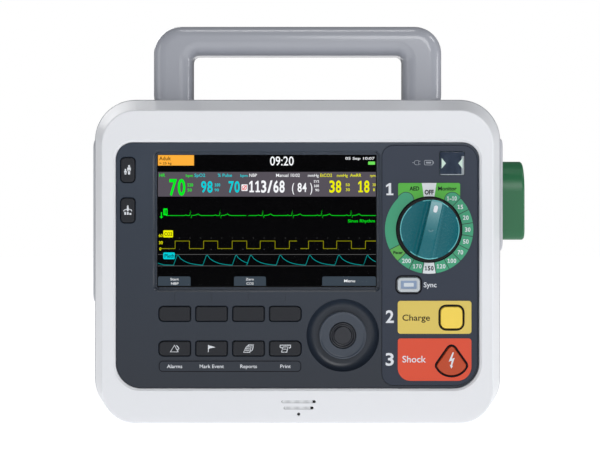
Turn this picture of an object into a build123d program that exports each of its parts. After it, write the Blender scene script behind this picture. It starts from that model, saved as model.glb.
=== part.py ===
from build123d import *

import os

# Portable monitor and defibrillator for hospital wards: two casing halves with a carrying handle,
# a control panel with a display, keys and an energy selector, and the works inside.
# Millimetres, +Z up, the front faces -Y. The origin is the middle of the footprint on the table.
#
# Most pieces are drawn in casing coordinates: u across from the casing's centre line, d back from
# the front face and v up from the underside of the casing.

# ---------------------------------------------------------------- driving dimensions
# Casing
body_w = 290.0
body_h = 228.2
body_d = 187.0
body_r = 29.0
face_w = 273.0
face_h = 218.4
face_r = 23.5
flare_d = 35.0
seam_d = 32.0
seal_t = 1.5
wall = 3.0
foot_h = 4.0
rear_edge_r = 8.0
knob_reach = 18.0
port_reach = 20.0
sensor_reach = 4.0
socket_lip = 1.0

# Fits between pieces: a visible gap round a key, a sliding fit and a running fit.
gap = 0.5
slide_fit = 0.2
run_fit = 0.05

total_d = body_d + knob_reach
left_out = body_w / 2 + sensor_reach + socket_lip
right_out = body_w / 2 + port_reach
body_x = (left_out - right_out) / 2
front_y = knob_reach - total_d / 2

# Control panel
panel_w = 254.0
panel_h = 172.0
panel_v = 110.3
panel_top_r = 12.0
panel_bottom_r = 18.0
panel_d = 1.5
panel_back = 4.5
rim_w = 1.6
ledge_w = 2.0
ledge_back = 6.0

# Display
window_u = -21.4
window_v = 141.3
window_w = 157.0
window_h = 97.0
window_r = 3.0
active_w = 152.4
active_h = 91.4
lens_back = 3.6
display_front = 4.6
display_back = 11.0

# Therapy panel, set into the control panel
therapy_u = 92.2
therapy_v = 110.4
therapy_w = 66.6
therapy_h = 167.4
therapy_radii = [8.0, 15.5, 10.5, 8.0]
therapy_gap = 0.3
therapy_d = 1.0
therapy_back = 3.0
plate_t = 0.4

# Keys
column_u = [-85.7, -60.0, -34.2, -8.5]
soft_v = 76.5
hard_v = 52.3
key_w = 21.4
key_h = 9.8
key_r = 1.3
key_outer_r = 3.0
opening_rim = 0.4
key_d = 0.9
strip_v = 39.9
strip_w = 99.4
strip_h = 7.7
strip_t = 0.3
groove_v = 88.8
groove_w = 0.6
groove_h = 7.4
side_key_u = -118.4
side_key_w = 9.5
side_key_h = 16.9
patient_v = 176.9
lead_v = 148.7
flange_t = 0.8
stem_back = 6.7
stem_r = 2.0
board_d = 10.0
board_t = 1.6
switch_reach = 2.0

# Navigation knob in its finger dish
nav_u = 31.6
nav_v = 61.5
dish_r = 25.4
dish_floor_r = 20.0
dish_d = 6.5
cup_back = 9.0
ring_r = 16.5
ring_hole_r = 9.3
nav_cap_r = 8.8
hub_back = 14.0
hub_r = 5.5
nav_stem_r = 2.8

# Energy selector
knob_u = 91.8
knob_v = 135.3
knob_r = 20.6
knob_turn = 13.0
knob_base = -0.5
dial_r = 30.8
dial_hole_r = 22.6
dial_top = 32.5
dial_top_w = 43.2
shaft_r = 3.0

# Buttons and plates of the therapy panel
therapy_key_d = -0.2
plate_u = 95.6
plate_w = 51.4
charge_plate_v = 74.1
charge_plate_h = 23.0
button_u = 107.4
charge_v = 73.9
charge_size = 15.0
shock_plate_v = 44.6
shock_plate_h = 29.6
shock_top_v = 55.4
shock_corner_v = 40.6
shock_low_v = 33.8
shock_half_w = 10.4
sync_u = 77.6
sync_v = 96.8
sync_w = 15.5
sync_h = 10.0
ready_u = 107.8
ready_v = 181.5
ready_w = 17.0
ready_h = 16.4

# Carrying handle
handle_w = 207.0
handle_leg = 28.0
handle_t = 34.0
handle_d = 52.0
handle_top = 281.4
handle_bar = 20.8
handle_corner_r = 19.5
handle_inner_r = 4.5
handle_round = 9.5
handle_foot = 213.0

# Screws and the posts that they run in
screw_u = 126.0
screw_v = [13.5, 203.0]
post_r = 6.0
post_d = 44.0
screw_r = 1.95
screw_head_r = 3.7
screw_head_t = 2.8
screw_len = 24.0
screw_seat = 52.0

# Therapy port on the right side
port_d = 80.0
port_v = 156.6
port_w = 52.0
port_h = 57.5
port_top_r = 22.0
port_low_r = 7.0
port_bore_r = 19.0
contact_r = 14.0
pad_w = 76.0
pad_h = 82.0
pad_t = 3.2

# Sensor panel on the left side
sensor_d = 103.0
sensor_v = 141.6
sensor_w = 90.0
sensor_h = 120.0
socket_r = 10.0
socket_len = 20.0
socket_bore = 14.0

# Strip printer on the right side
bay_d = [80.0, 166.0]
bay_v = [22.0, 106.0]
bay_u = 90.0
bay_wall = 2.0
bay_mouth = 144.9
hinge_u = 143.0
hinge_v = 27.0
hinge_pin_r = 1.5
barrel_r = 2.0
door_top = 103.5
door_d = [82.6, 163.4]
door_u = 142.0
ear_d = [(90.0, 92.5), (153.5, 156.0)]
roll_u = 114.0
roll_v = 56.0
roll_r = 20.0
roll_core_r = 7.0
paper_d = 123.0
paper_w = 58.0
platen_u = 136.0
platen_v = 93.0
platen_r = 4.5
platen_w = 60.0
tab_v = 85.6
tab_w = 22.0
tab_h = 5.8
tab_gap = 0.3
latch_travel = 3.0

# Battery, its latch, mains inlet and earth post in the rear wall
battery_u = -66.0
battery_v = 43.0
battery_w = 96.0
battery_h = 62.0
battery_len = 88.0
finger_w = 58.0
finger_h = 16.0
finger_deep = 10.0
finger_v = battery_v + 12.0
release_v = 88.5
release_w = 22.0
release_h = 9.0
release_travel = 4.0
inlet_u = 36.0
inlet_v = 38.0
inlet_w = 50.0
inlet_h = 28.0
inlet_body_w = 30.0
inlet_body_h = 24.0
inlet_well = 16.0
earth_u = 84.0
earth_v = 34.0
earth_r = 3.0
earth_neck_r = 2.4
earth_pin = 6.0
earth_tip = 0.5
earth_recess_r = 9.0
earth_recess = 8.0
earth_end = 1.0

# Underside
mount_d = 105.0
mount_x = 100.0
mount_y = 75.0
insert_r = 3.2
insert_hole_r = 2.0
insert_len = 8.0
foot_u = 112.0
foot_d = [50.0, 160.0]
foot_r = 9.0
foot_recess = 0.8

# Speaker
speaker_u = 0.8
speaker_v = 13.5
slot_h = 2.0
speaker_slots = [(15.3, 24.0), (10.9, 20.8)]
mic_v = 6.6
mic_r = 1.1


# ---------------------------------------------------------------- planes in casing coordinates
def at_depth(d):
    """Upright plane d behind the front face. Sketch axes are u and v, and it extrudes forwards."""
    return Plane(origin=(body_x, front_y + d, foot_h), x_dir=(1, 0, 0), z_dir=(0, -1, 0))


def at_side(u):
    """Upright plane u right of the centre line. Sketch axes are d and v, and it extrudes right."""
    return Plane(origin=(body_x + u, front_y, foot_h), x_dir=(0, 1, 0), z_dir=(1, 0, 0))


def at_level(v):
    """Level plane v above the casing's underside. Sketch axes are u and d, and it extrudes up."""
    return Plane(origin=(body_x, front_y, foot_h + v), x_dir=(1, 0, 0), z_dir=(0, 0, 1))


def centre_line(u, v):
    """Axis that runs front to back through u, v."""
    return Axis((body_x + u, front_y, foot_h + v), (0, 1, 0))


def half_section(u, v):
    """Level plane through that axis. Its sketch axes are the radius and the depth d."""
    return Plane(origin=(body_x + u, front_y, foot_h + v), x_dir=(1, 0, 0), z_dir=(0, 0, 1))


def block(u, d, v, mode=Mode.ADD):
    """Box between the two values of each of u, d and v, joined to the part in hand."""
    with BuildSketch(at_level(v[0])) as base:
        with Locations(((u[0] + u[1]) / 2, (d[0] + d[1]) / 2)):
            Rectangle(u[1] - u[0], d[1] - d[0])
    extrude(base.sketch, amount=v[1] - v[0], mode=mode)


def case_section(d, inset=0.0):
    """The casing's outline at depth d, shrunk by inset. It widens back as far as flare_d."""
    share = min(d / flare_d, 1)
    width = face_w + (body_w - face_w) * share
    height = face_h + (body_h - face_h) * share
    radius = face_r + (body_r - face_r) * share
    with BuildSketch(at_depth(d)) as section:
        with Locations((0, height / 2)):
            RectangleRounded(width - 2 * inset, height - 2 * inset, radius - inset)
    return section.sketch


def rounded(width, height, radii):
    """Rectangle about the origin with a radius for each corner, anticlockwise from lower left."""
    corners = [(-width, -height), (width, -height), (width, height), (-width, height)]
    with BuildSketch() as shape:
        Rectangle(width, height)
        for corner, radius in zip(corners, radii):
            fillet(shape.vertices().sort_by_distance((corner[0], corner[1], 0))[0], radius)
    return shape.sketch


# ---------------------------------------------------------------- outlines used more than once
panel_outline = rounded(
    panel_w, panel_h, [panel_bottom_r, panel_bottom_r, panel_top_r, panel_top_r]
)
therapy_outline = rounded(therapy_w, therapy_h, therapy_radii)
charge_plate_outline = rounded(plate_w, charge_plate_h, [2, 2, 2, 2])
shock_plate_outline = rounded(plate_w, shock_plate_h, [9, 10, 2, 2])
port_outline = rounded(port_w, port_h, [port_low_r, port_low_r, port_top_r, port_top_r])
side_key_outline = rounded(side_key_w, side_key_h, [2.6] * 4)
charge_outline = rounded(charge_size, charge_size, [3.9] * 4)
sync_outline = rounded(sync_w, sync_h, [2.8] * 4)

# Shock button: a triangle with its point up, rounded corners and a bowed lower edge.
left_corner = (-shock_half_w, shock_corner_v)
right_corner = (shock_half_w, shock_corner_v)
with BuildSketch() as shock_shape:
    with BuildLine():
        Polyline(left_corner, (0, shock_top_v), right_corner)
        ThreePointArc(left_corner, (0, shock_low_v), right_corner)
    make_face()
    fillet(shock_shape.vertices(), 2.4)
shock_outline = shock_shape.sketch

# Each key: name, u and v of its outline, the outline, and the v at which it presses its switch.
main_keys = []
for column, u in enumerate(column_u):
    left_r = key_outer_r if column == 0 else key_r
    right_r = key_outer_r if column == len(column_u) - 1 else key_r
    outline = rounded(key_w, key_h, [left_r, right_r, right_r, left_r])
    hard_name = ["alarm_key", "event_key", "report_key", "print_key"][column]
    main_keys.append((f"soft_key_{column + 1}", u, soft_v, outline, soft_v))
    main_keys.append((hard_name, u, hard_v, outline, hard_v))
main_keys.append(("patient_key", side_key_u, patient_v, side_key_outline, patient_v))
main_keys.append(("lead_key", side_key_u, lead_v, side_key_outline, lead_v))
therapy_keys = [
    ("sync_button", sync_u, sync_v, sync_outline, sync_v),
    ("charge_button", button_u, charge_v, charge_outline, charge_v),
    ("shock_button", button_u, 0, shock_outline, (shock_low_v + shock_corner_v) / 2 + 5),
]
switch_places = [(u, press_v) for _, u, _, _, press_v in main_keys + therapy_keys]
post_places = [(side * screw_u, v) for side in (-1, 1) for v in screw_v]
foot_places = [(side * foot_u, d) for side in (-1, 1) for d in foot_d]
leg_u = (handle_w - handle_leg) / 2
leg_places = [(-leg_u, handle_d), (leg_u, handle_d)]
os.makedirs("parts", exist_ok=True)

# ---------------------------------------------------------------- front casing half
with BuildPart() as front_bezel:
    loft([case_section(0), case_section(seam_d)])
    fillet(front_bezel.edges().group_by(Axis.Y)[0], 1.2)
    loft([case_section(wall, wall), case_section(seam_d, wall)], mode=Mode.SUBTRACT)
    # Collar behind the opening, with the ledge that the control panel rests on.
    with BuildSketch(at_depth(ledge_back)):
        with Locations((0, panel_v)):
            add(panel_outline)
        offset(amount=1.8)
    extrude(amount=ledge_back - wall)
    with BuildSketch(at_depth(ledge_back + 1)):
        with Locations((0, panel_v)):
            add(panel_outline)
        offset(amount=-ledge_w)
    extrude(amount=ledge_back + 2, mode=Mode.SUBTRACT)
    with BuildSketch(at_depth(panel_back)):
        with Locations((0, panel_v)):
            add(panel_outline)
    extrude(amount=panel_back + 1, mode=Mode.SUBTRACT)
    chamfer(front_bezel.faces().sort_by(Axis.Y)[0].inner_wires()[0].edges(), rim_w)
    # Two speaker slots and the microphone hole.
    with BuildSketch(at_depth(wall + 1)):
        for slot_v, slot_w in speaker_slots:
            with Locations((speaker_u, slot_v)):
                SlotOverall(slot_w, slot_h)
        with Locations((speaker_u, mic_v)):
            Circle(mic_r)
    extrude(amount=wall + 2, mode=Mode.SUBTRACT)
    # Bosses that take the casing screws.
    with BuildSketch(at_depth(post_d - slide_fit)):
        with Locations(*post_places):
            Circle(post_r - 0.5)
    extrude(amount=post_d - slide_fit - wall + 1)
    with BuildSketch(at_depth(post_d)):
        with Locations(*post_places):
            Circle(screw_r + run_fit)
    extrude(amount=screw_len - 6, mode=Mode.SUBTRACT)
front_bezel.part.label = "front_bezel"
export_step(front_bezel.part, "parts/front_bezel.step")

# ---------------------------------------------------------------- rear casing half
# The space inside it, less what stays solid there: blocks for the handle's legs, screw posts, the
# battery bay's walls, the stand's bosses, and cups for the battery latch and the earth post.
rear_start = seam_d + seal_t
bay_w = battery_w + 2 * gap
bay_h = battery_h + 2 * gap
with BuildPart() as cavity:
    loft([case_section(rear_start, wall), case_section(flare_d, wall)])
    extrude(case_section(flare_d, wall), amount=flare_d - body_d + wall)
    with BuildSketch(at_level(handle_foot - wall)):
        with Locations(*leg_places):
            Rectangle(handle_leg + 2 * wall, handle_t + 2 * wall)
    extrude(amount=body_h, mode=Mode.SUBTRACT)
    with BuildSketch(at_depth(body_d)):
        with Locations(*post_places):
            Circle(post_r)
    extrude(amount=body_d - post_d, mode=Mode.SUBTRACT)
    with BuildSketch(at_depth(body_d)):
        with Locations((battery_u, battery_v)):
            Rectangle(bay_w + 4, bay_h + 4)
    extrude(amount=battery_len + gap + 2, mode=Mode.SUBTRACT)
    with BuildSketch(at_depth(body_d)):
        with Locations((battery_u, release_v + 2)):
            Rectangle(32, 20)
    extrude(amount=8, mode=Mode.SUBTRACT)
    with BuildSketch(at_depth(body_d)):
        with Locations((earth_u, earth_v)):
            Circle(11)
    extrude(amount=11, mode=Mode.SUBTRACT)
    with BuildSketch(at_level(0)):
        with Locations((0, mount_d)):
            with GridLocations(mount_x, mount_y, 2, 2):
                Circle(6)
    extrude(amount=insert_len + 2, mode=Mode.SUBTRACT)

with BuildPart() as rear_case:
    loft([case_section(rear_start), case_section(flare_d)])
    extrude(case_section(flare_d), amount=flare_d - body_d)
    fillet(rear_case.edges().group_by(Axis.Y)[-1], rear_edge_r)
    # Raised pad on the right side round the therapy port.
    with BuildSketch(at_side(body_w / 2 - wall)):
        with Locations((port_d + 3, port_v + 4)):
            RectangleRounded(pad_w, pad_h, 8)
    extrude(amount=wall + pad_t)
    fillet(rear_case.faces().sort_by(Axis.X)[-1].edges(), 2.5)
    add(cavity.part, mode=Mode.SUBTRACT)
    with BuildSketch(at_side(body_w / 2 - wall - 2)):
        with Locations((port_d, port_v)):
            add(port_outline)
        offset(amount=slide_fit)
    extrude(amount=12, mode=Mode.SUBTRACT)
    # Openings for the printer on the right and for the sensor panel on the left.
    with BuildSketch(at_side(body_w / 2 - wall - 2)):
        with Locations((sum(bay_d) / 2, sum(bay_v) / 2)):
            Rectangle(bay_d[1] - bay_d[0] + 2 * slide_fit, bay_v[1] - bay_v[0] + 2 * slide_fit)
    extrude(amount=12, mode=Mode.SUBTRACT)
    with BuildSketch(at_side(-body_w / 2 - 2)):
        with Locations((sensor_d, sensor_v)):
            RectangleRounded(sensor_w - 10, sensor_h - 10, 6)
    extrude(amount=12, mode=Mode.SUBTRACT)
    # Battery bay, latch recess, mains inlet and earth post recess in the rear wall.
    with BuildSketch(at_depth(body_d + 1)):
        with Locations((battery_u, battery_v)):
            Rectangle(bay_w, bay_h)
    extrude(amount=battery_len + gap + 1, mode=Mode.SUBTRACT)
    with BuildSketch(at_depth(body_d + 1)):
        with Locations((battery_u, release_v + 2)):
            RectangleRounded(release_w + 4, release_h + release_travel + 1, 2)
    extrude(amount=5, mode=Mode.SUBTRACT)
    with BuildSketch(at_depth(body_d + 1)):
        with Locations((inlet_u, inlet_v)):
            RectangleRounded(inlet_w + 2 * slide_fit, inlet_h + 2 * slide_fit, 3)
    extrude(amount=3, mode=Mode.SUBTRACT)
    with BuildSketch(at_depth(body_d + 1)):
        with Locations((inlet_u, inlet_v)):
            Rectangle(inlet_body_w + 2 * slide_fit, inlet_body_h + 2 * slide_fit)
    extrude(amount=8, mode=Mode.SUBTRACT)
    with BuildSketch(at_depth(body_d + 1)):
        with Locations((earth_u, earth_v)):
            Circle(earth_recess_r)
    extrude(amount=earth_recess + 1, mode=Mode.SUBTRACT)
    with BuildSketch(at_depth(body_d)):
        with Locations((earth_u, earth_v)):
            Circle(earth_neck_r + run_fit)
    extrude(amount=12, mode=Mode.SUBTRACT)
    # Screw holes: wide from the rear to the seat, narrow through it.
    with BuildSketch(at_depth(body_d + 1)):
        with Locations(*post_places):
            Circle(screw_head_r + 0.5)
    extrude(amount=body_d + 1 - screw_seat, mode=Mode.SUBTRACT)
    with BuildSketch(at_depth(screw_seat + 1)):
        with Locations(*post_places):
            Circle(screw_r + slide_fit)
    extrude(amount=10, mode=Mode.SUBTRACT)
    # Pockets for the handle's legs, and the holes of the screws that hold them from inside.
    with BuildSketch(at_level(handle_foot)):
        with Locations(*leg_places):
            RectangleRounded(handle_leg + 0.1, handle_t + 0.1, handle_round)
    extrude(amount=body_h, mode=Mode.SUBTRACT)
    with BuildSketch(at_level(handle_foot - wall - 1)):
        with Locations(*leg_places):
            Circle(screw_r + slide_fit)
    extrude(amount=wall + 2, mode=Mode.SUBTRACT)
    # Underside: recesses for the feet and holes for the stand's inserts.
    with BuildSketch(at_level(-1)):
        with Locations(*foot_places):
            Circle(foot_r + slide_fit)
    extrude(amount=1 + foot_recess, mode=Mode.SUBTRACT)
    with BuildSketch(at_level(-1)):
        with Locations((0, mount_d)):
            with GridLocations(mount_x, mount_y, 2, 2):
                Circle(insert_r + run_fit)
    extrude(amount=1 + insert_len, mode=Mode.SUBTRACT)
rear_case.part.label = "rear_case"
export_step(rear_case.part, "parts/rear_case.step")

# ---------------------------------------------------------------- seal, screws, feet, inserts
seal_w = 2.2
with BuildPart() as case_seal:
    extrude(case_section(rear_start, 0.7), amount=seal_t)
    extrude(case_section(rear_start, 0.7 + seal_w), amount=seal_t, mode=Mode.SUBTRACT)
case_seal.part.label = "case_seal"
export_step(case_seal.part, "parts/case_seal.step")

# Four screws driven forwards into the front half's bosses, and two driven up into the handle.
with BuildPart() as casing_screws:
    with BuildSketch(at_depth(screw_seat)):
        with Locations(*post_places):
            Circle(screw_r)
    extrude(amount=screw_len)
    with BuildSketch(at_depth(screw_seat + screw_head_t)):
        with Locations(*post_places):
            Circle(screw_head_r)
            RegularPolygon(1.5, 6, mode=Mode.SUBTRACT)
    extrude(amount=screw_head_t)
    with BuildSketch(at_level(handle_foot - wall)):
        with Locations(*leg_places):
            Circle(screw_r)
    extrude(amount=screw_len)
    with BuildSketch(at_level(handle_foot - wall - screw_head_t)):
        with Locations(*leg_places):
            Circle(screw_head_r)
            RegularPolygon(1.5, 6, mode=Mode.SUBTRACT)
    extrude(amount=screw_head_t)
casing_screws.part.label = "casing_screws"
export_step(casing_screws.part, "parts/casing_screws.step")

with BuildPart() as rubber_feet:
    with BuildSketch(at_level(-foot_h)):
        with Locations(*foot_places):
            Circle(foot_r)
    extrude(amount=foot_h + foot_recess)
    chamfer(rubber_feet.edges().group_by(Axis.Z)[0], 0.8)
rubber_feet.part.label = "rubber_feet"
export_step(rubber_feet.part, "parts/rubber_feet.step")

# Brass inserts that take the screws of a trolley or shelf mount.
with BuildPart() as stand_inserts:
    with BuildSketch(at_level(0)):
        with Locations((0, mount_d)):
            with GridLocations(mount_x, mount_y, 2, 2):
                Circle(insert_r)
                Circle(insert_hole_r, mode=Mode.SUBTRACT)
    extrude(amount=insert_len)
stand_inserts.part.label = "stand_inserts"
export_step(stand_inserts.part, "parts/stand_inserts.step")

# ---------------------------------------------------------------- carrying handle
grip_w = handle_w - 2 * handle_leg
grip_top = handle_top - handle_bar
with BuildSketch() as grip_opening:
    with Locations((0, (grip_top + handle_foot) / 2 - 10)):
        Rectangle(grip_w, grip_top - handle_foot + 20)
    fillet(grip_opening.vertices().group_by(Axis.Y)[-1], handle_inner_r)
with BuildPart() as carry_handle:
    with BuildSketch(at_depth(handle_d + handle_t / 2)) as arch:
        with Locations((0, (handle_top + handle_foot) / 2)):
            Rectangle(handle_w, handle_top - handle_foot)
        fillet(arch.vertices().group_by(Axis.Z)[-1], handle_corner_r)
        add(grip_opening.sketch, mode=Mode.SUBTRACT)
    extrude(amount=handle_t)
    rims = carry_handle.edges().group_by(Axis.Y)
    feet_z = foot_h + handle_foot
    fillet([edge for edge in rims[0] + rims[-1] if edge.center().Z > feet_z + 1], handle_round)
    with BuildSketch(at_level(handle_foot)):
        with Locations(*leg_places):
            Circle(screw_r + run_fit)
    extrude(amount=screw_len - wall + 1, mode=Mode.SUBTRACT)
carry_handle.part.label = "carry_handle"
export_step(carry_handle.part, "parts/carry_handle.step")

# ---------------------------------------------------------------- control panel
with BuildPart() as control_panel:
    with BuildSketch(at_depth(panel_back)):
        with Locations((0, panel_v)):
            add(panel_outline)
        offset(amount=-0.4)
    extrude(amount=panel_back - panel_d)
    fillet(control_panel.edges().group_by(Axis.Y)[0], 0.6)
    # Raised strip for the key names, under the lower row of keys.
    with BuildSketch(at_depth(panel_d)):
        with Locations((sum(column_u) / len(column_u), strip_v)):
            RectangleRounded(strip_w, strip_h, 1.5)
    extrude(amount=strip_t)
    # Grooves that point from the display to the soft keys.
    with BuildSketch(at_depth(panel_d + 0.4)):
        with Locations(*[(u, groove_v) for u in column_u]):
            Rectangle(groove_w, groove_h)
    extrude(amount=1, mode=Mode.SUBTRACT)
    # Cup behind the finger dish, then the dish and the hole for the knob's hub.
    with BuildSketch(at_depth(cup_back)):
        with Locations((nav_u, nav_v)):
            Circle(dish_r + 2)
    extrude(amount=cup_back - panel_back + 1)
    with BuildSketch(half_section(nav_u, nav_v)):
        with BuildLine():
            Polyline((dish_r, panel_d), (dish_r, panel_d - 1), (0, panel_d - 1), (0, dish_d))
            Line((0, dish_d), (dish_floor_r, dish_d))
            ThreePointArc(
                (dish_floor_r, dish_d), (dish_r - 1.6, dish_d - 1.8), (dish_r, panel_d)
            )
        make_face()
    revolve(axis=centre_line(nav_u, nav_v), mode=Mode.SUBTRACT)
    with BuildSketch(at_depth(cup_back + 1)):
        with Locations((nav_u, nav_v)):
            Circle(hub_r + gap)
    extrude(amount=5, mode=Mode.SUBTRACT)
    # Display window: a bevel, a seat for the lens and the clear opening.
    with BuildSketch(at_depth(panel_d + 1)):
        with Locations((window_u, window_v)):
            RectangleRounded(window_w, window_h, window_r)
    extrude(amount=1.2, taper=-45, mode=Mode.SUBTRACT)
    with BuildSketch(at_depth(lens_back)):
        with Locations((window_u, window_v)):
            RectangleRounded(window_w, window_h, window_r)
    extrude(amount=3, mode=Mode.SUBTRACT)
    with BuildSketch(at_depth(panel_back + 1)):
        with Locations((window_u, window_v)):
            Rectangle(active_w + 1.2, active_h + 1.2)
    extrude(amount=3, mode=Mode.SUBTRACT)
    # Pocket for the therapy panel, with a ledge all round it.
    with BuildSketch(at_depth(therapy_back)):
        with Locations((therapy_u, therapy_v)):
            add(therapy_outline)
        offset(amount=therapy_gap)
    extrude(amount=3, mode=Mode.SUBTRACT)
    with BuildSketch(at_depth(cup_back + 1)):
        with Locations((therapy_u, therapy_v)):
            add(therapy_outline)
        offset(amount=-2.5)
    extrude(amount=cup_back, mode=Mode.SUBTRACT)
    # Openings for the keys, each with a bevelled rim.
    for _, u, v, outline, _ in main_keys:
        with BuildSketch(at_depth(panel_back + 1)):
            with Locations((u, v)):
                add(outline)
            offset(amount=gap)
        extrude(amount=5, mode=Mode.SUBTRACT)
        with BuildSketch(at_depth(panel_d + opening_rim)):
            with Locations((u, v)):
                add(outline)
            offset(amount=gap)
        extrude(amount=2 * opening_rim, taper=-45, mode=Mode.SUBTRACT)
control_panel.part.label = "control_panel"
export_step(control_panel.part, "parts/control_panel.step")

# ---------------------------------------------------------------- display
with BuildPart() as display_lens:
    with BuildSketch(at_depth(lens_back)):
        with Locations((window_u, window_v)):
            RectangleRounded(window_w - 0.3, window_h - 0.3, window_r)
    extrude(amount=1.4)
    fillet(display_lens.edges().group_by(Axis.Y)[0], 0.3)
display_lens.part.label = "display_lens"
export_step(display_lens.part, "parts/display_lens.step")

with BuildPart() as display_module:
    with BuildSketch(at_depth(display_back)):
        with Locations((window_u, window_v)):
            Rectangle(active_w + 12, active_h + 12)
    extrude(amount=display_back - display_front)
    with BuildSketch(at_depth(display_front + 0.6)):
        with Locations((window_u, window_v)):
            Rectangle(active_w, active_h)
    extrude(amount=2, mode=Mode.SUBTRACT)
    with BuildSketch(at_depth(display_back + 3)):
        with Locations((window_u, window_v - 30)):
            Rectangle(60, 14)
    extrude(amount=3)
display_module.part.label = "display_module"
export_step(display_module.part, "parts/display_module.step")

# ---------------------------------------------------------------- therapy panel and its plates
with BuildPart() as therapy_panel:
    with BuildSketch(at_depth(therapy_back)):
        with Locations((therapy_u, therapy_v)):
            add(therapy_outline)
    extrude(amount=therapy_back - therapy_d)
    fillet(therapy_panel.edges().group_by(Axis.Y)[0], 0.5)
    with BuildSketch(at_depth(therapy_back + 1)):
        with Locations((knob_u, knob_v)):
            Circle(5 + slide_fit)
        with Locations((ready_u, ready_v)):
            RectangleRounded(ready_w + 0.6, ready_h + 0.6, 1.4)
    extrude(amount=5, mode=Mode.SUBTRACT)
    for _, u, v, outline, _ in therapy_keys:
        with BuildSketch(at_depth(therapy_back + 1)):
            with Locations((u, v)):
                add(outline)
            offset(amount=gap + 0.2)
        extrude(amount=5, mode=Mode.SUBTRACT)
therapy_panel.part.label = "therapy_panel"
export_step(therapy_panel.part, "parts/therapy_panel.step")

# Printed energy scale: a ring with a square-topped crown for the mode names.
crown_h = 15.0
with BuildPart() as dial_scale:
    with BuildSketch(at_depth(therapy_d)):
        with Locations((knob_u, knob_v)):
            Circle(dial_r)
        with Locations((knob_u, knob_v + dial_top - crown_h / 2)):
            RectangleRounded(dial_top_w, crown_h, 1.2)
        with Locations((knob_u, knob_v)):
            Circle(dial_hole_r, mode=Mode.SUBTRACT)
    extrude(amount=plate_t)
dial_scale.part.label = "dial_scale"
export_step(dial_scale.part, "parts/dial_scale.step")

with BuildPart() as charge_plate:
    with BuildSketch(at_depth(therapy_d)):
        with Locations((plate_u, charge_plate_v)):
            add(charge_plate_outline)
    extrude(amount=plate_t)
    with BuildSketch(at_depth(therapy_d)):
        with Locations((button_u, charge_v)):
            add(charge_outline)
        offset(amount=gap + 0.2)
    extrude(amount=plate_t, mode=Mode.SUBTRACT)
charge_plate.part.label = "charge_plate"
export_step(charge_plate.part, "parts/charge_plate.step")

with BuildPart() as shock_plate:
    with BuildSketch(at_depth(therapy_d)):
        with Locations((plate_u, shock_plate_v)):
            add(shock_plate_outline)
    extrude(amount=plate_t)
    with BuildSketch(at_depth(therapy_d)):
        with Locations((button_u, 0)):
            add(shock_outline)
        offset(amount=gap + 0.2)
    extrude(amount=plate_t, mode=Mode.SUBTRACT)
shock_plate.part.label = "shock_plate"
export_step(shock_plate.part, "parts/shock_plate.step")

# Ready-for-use window: a clear block in front of the indicator on the keypad board.
with BuildPart() as ready_window:
    with BuildSketch(at_depth(therapy_back)):
        with Locations((ready_u, ready_v)):
            RectangleRounded(ready_w, ready_h, 1.2)
    extrude(amount=therapy_back - 0.3)
    fillet(ready_window.edges().group_by(Axis.Y)[0], 0.5)
ready_window.part.label = "ready_window"
export_step(ready_window.part, "parts/ready_window.step")

# ---------------------------------------------------------------- keys and buttons
# A cap, a flange that keeps it behind the panel, and a stem that meets its switch.
for keys, cap_d, flange_d in [
    (main_keys, key_d, panel_back + slide_fit),
    (therapy_keys, therapy_key_d, therapy_back + slide_fit),
]:
    for name, u, v, outline, press_v in keys:
        with BuildPart() as key:
            with BuildSketch(at_depth(flange_d)):
                with Locations((u, v)):
                    add(outline)
            extrude(amount=flange_d - cap_d)
            fillet(key.edges().group_by(Axis.Y)[0], 0.7)
            if name == "sync_button":
                with BuildSketch(at_depth(cap_d + 0.5)):
                    with Locations((u, v)):
                        RectangleRounded(sync_w - 4, sync_h - 4, 0.8)
                extrude(amount=1, mode=Mode.SUBTRACT)
            with BuildSketch(at_depth(flange_d + flange_t)):
                with Locations((u, v)):
                    add(outline)
                offset(amount=gap + 0.5)
            extrude(amount=flange_t)
            with BuildSketch(at_depth(stem_back)):
                with Locations((u, press_v)):
                    Circle(stem_r)
            extrude(amount=stem_back - flange_d)
        key.part.label = name
        export_step(key.part, f"parts/{name}.step")

# ---------------------------------------------------------------- keypad circuit board
# It fills the panel's outline round the display and carries a switch behind each key, and the
# ready indicator on a spacer.
with BuildPart() as keypad_board:
    with BuildSketch(at_depth(board_d + board_t)):
        with Locations((0, panel_v)):
            Rectangle(panel_w - 8, panel_h - 8)
        with Locations((window_u, window_v + 10)):
            Rectangle(active_w + 15, active_h + 35, mode=Mode.SUBTRACT)
        with Locations((knob_u, knob_v)):
            Circle(15, mode=Mode.SUBTRACT)
        with Locations((nav_u, nav_v)):
            Circle(hub_r + gap, mode=Mode.SUBTRACT)
    extrude(amount=board_t)
    with BuildSketch(at_depth(board_d)):
        with Locations(*switch_places):
            Rectangle(6, 6)
    extrude(amount=switch_reach - 0.5)
    with BuildSketch(at_depth(board_d - switch_reach + 0.5)):
        with Locations(*switch_places):
            Circle(1.6)
    extrude(amount=0.5)
    with BuildSketch(at_depth(board_d)):
        with Locations((ready_u, ready_v)):
            Rectangle(ready_w - 3, ready_h - 3)
    extrude(amount=board_d - therapy_back - 0.1)
keypad_board.part.label = "keypad_board"
export_step(keypad_board.part, "parts/keypad_board.step")

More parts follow.
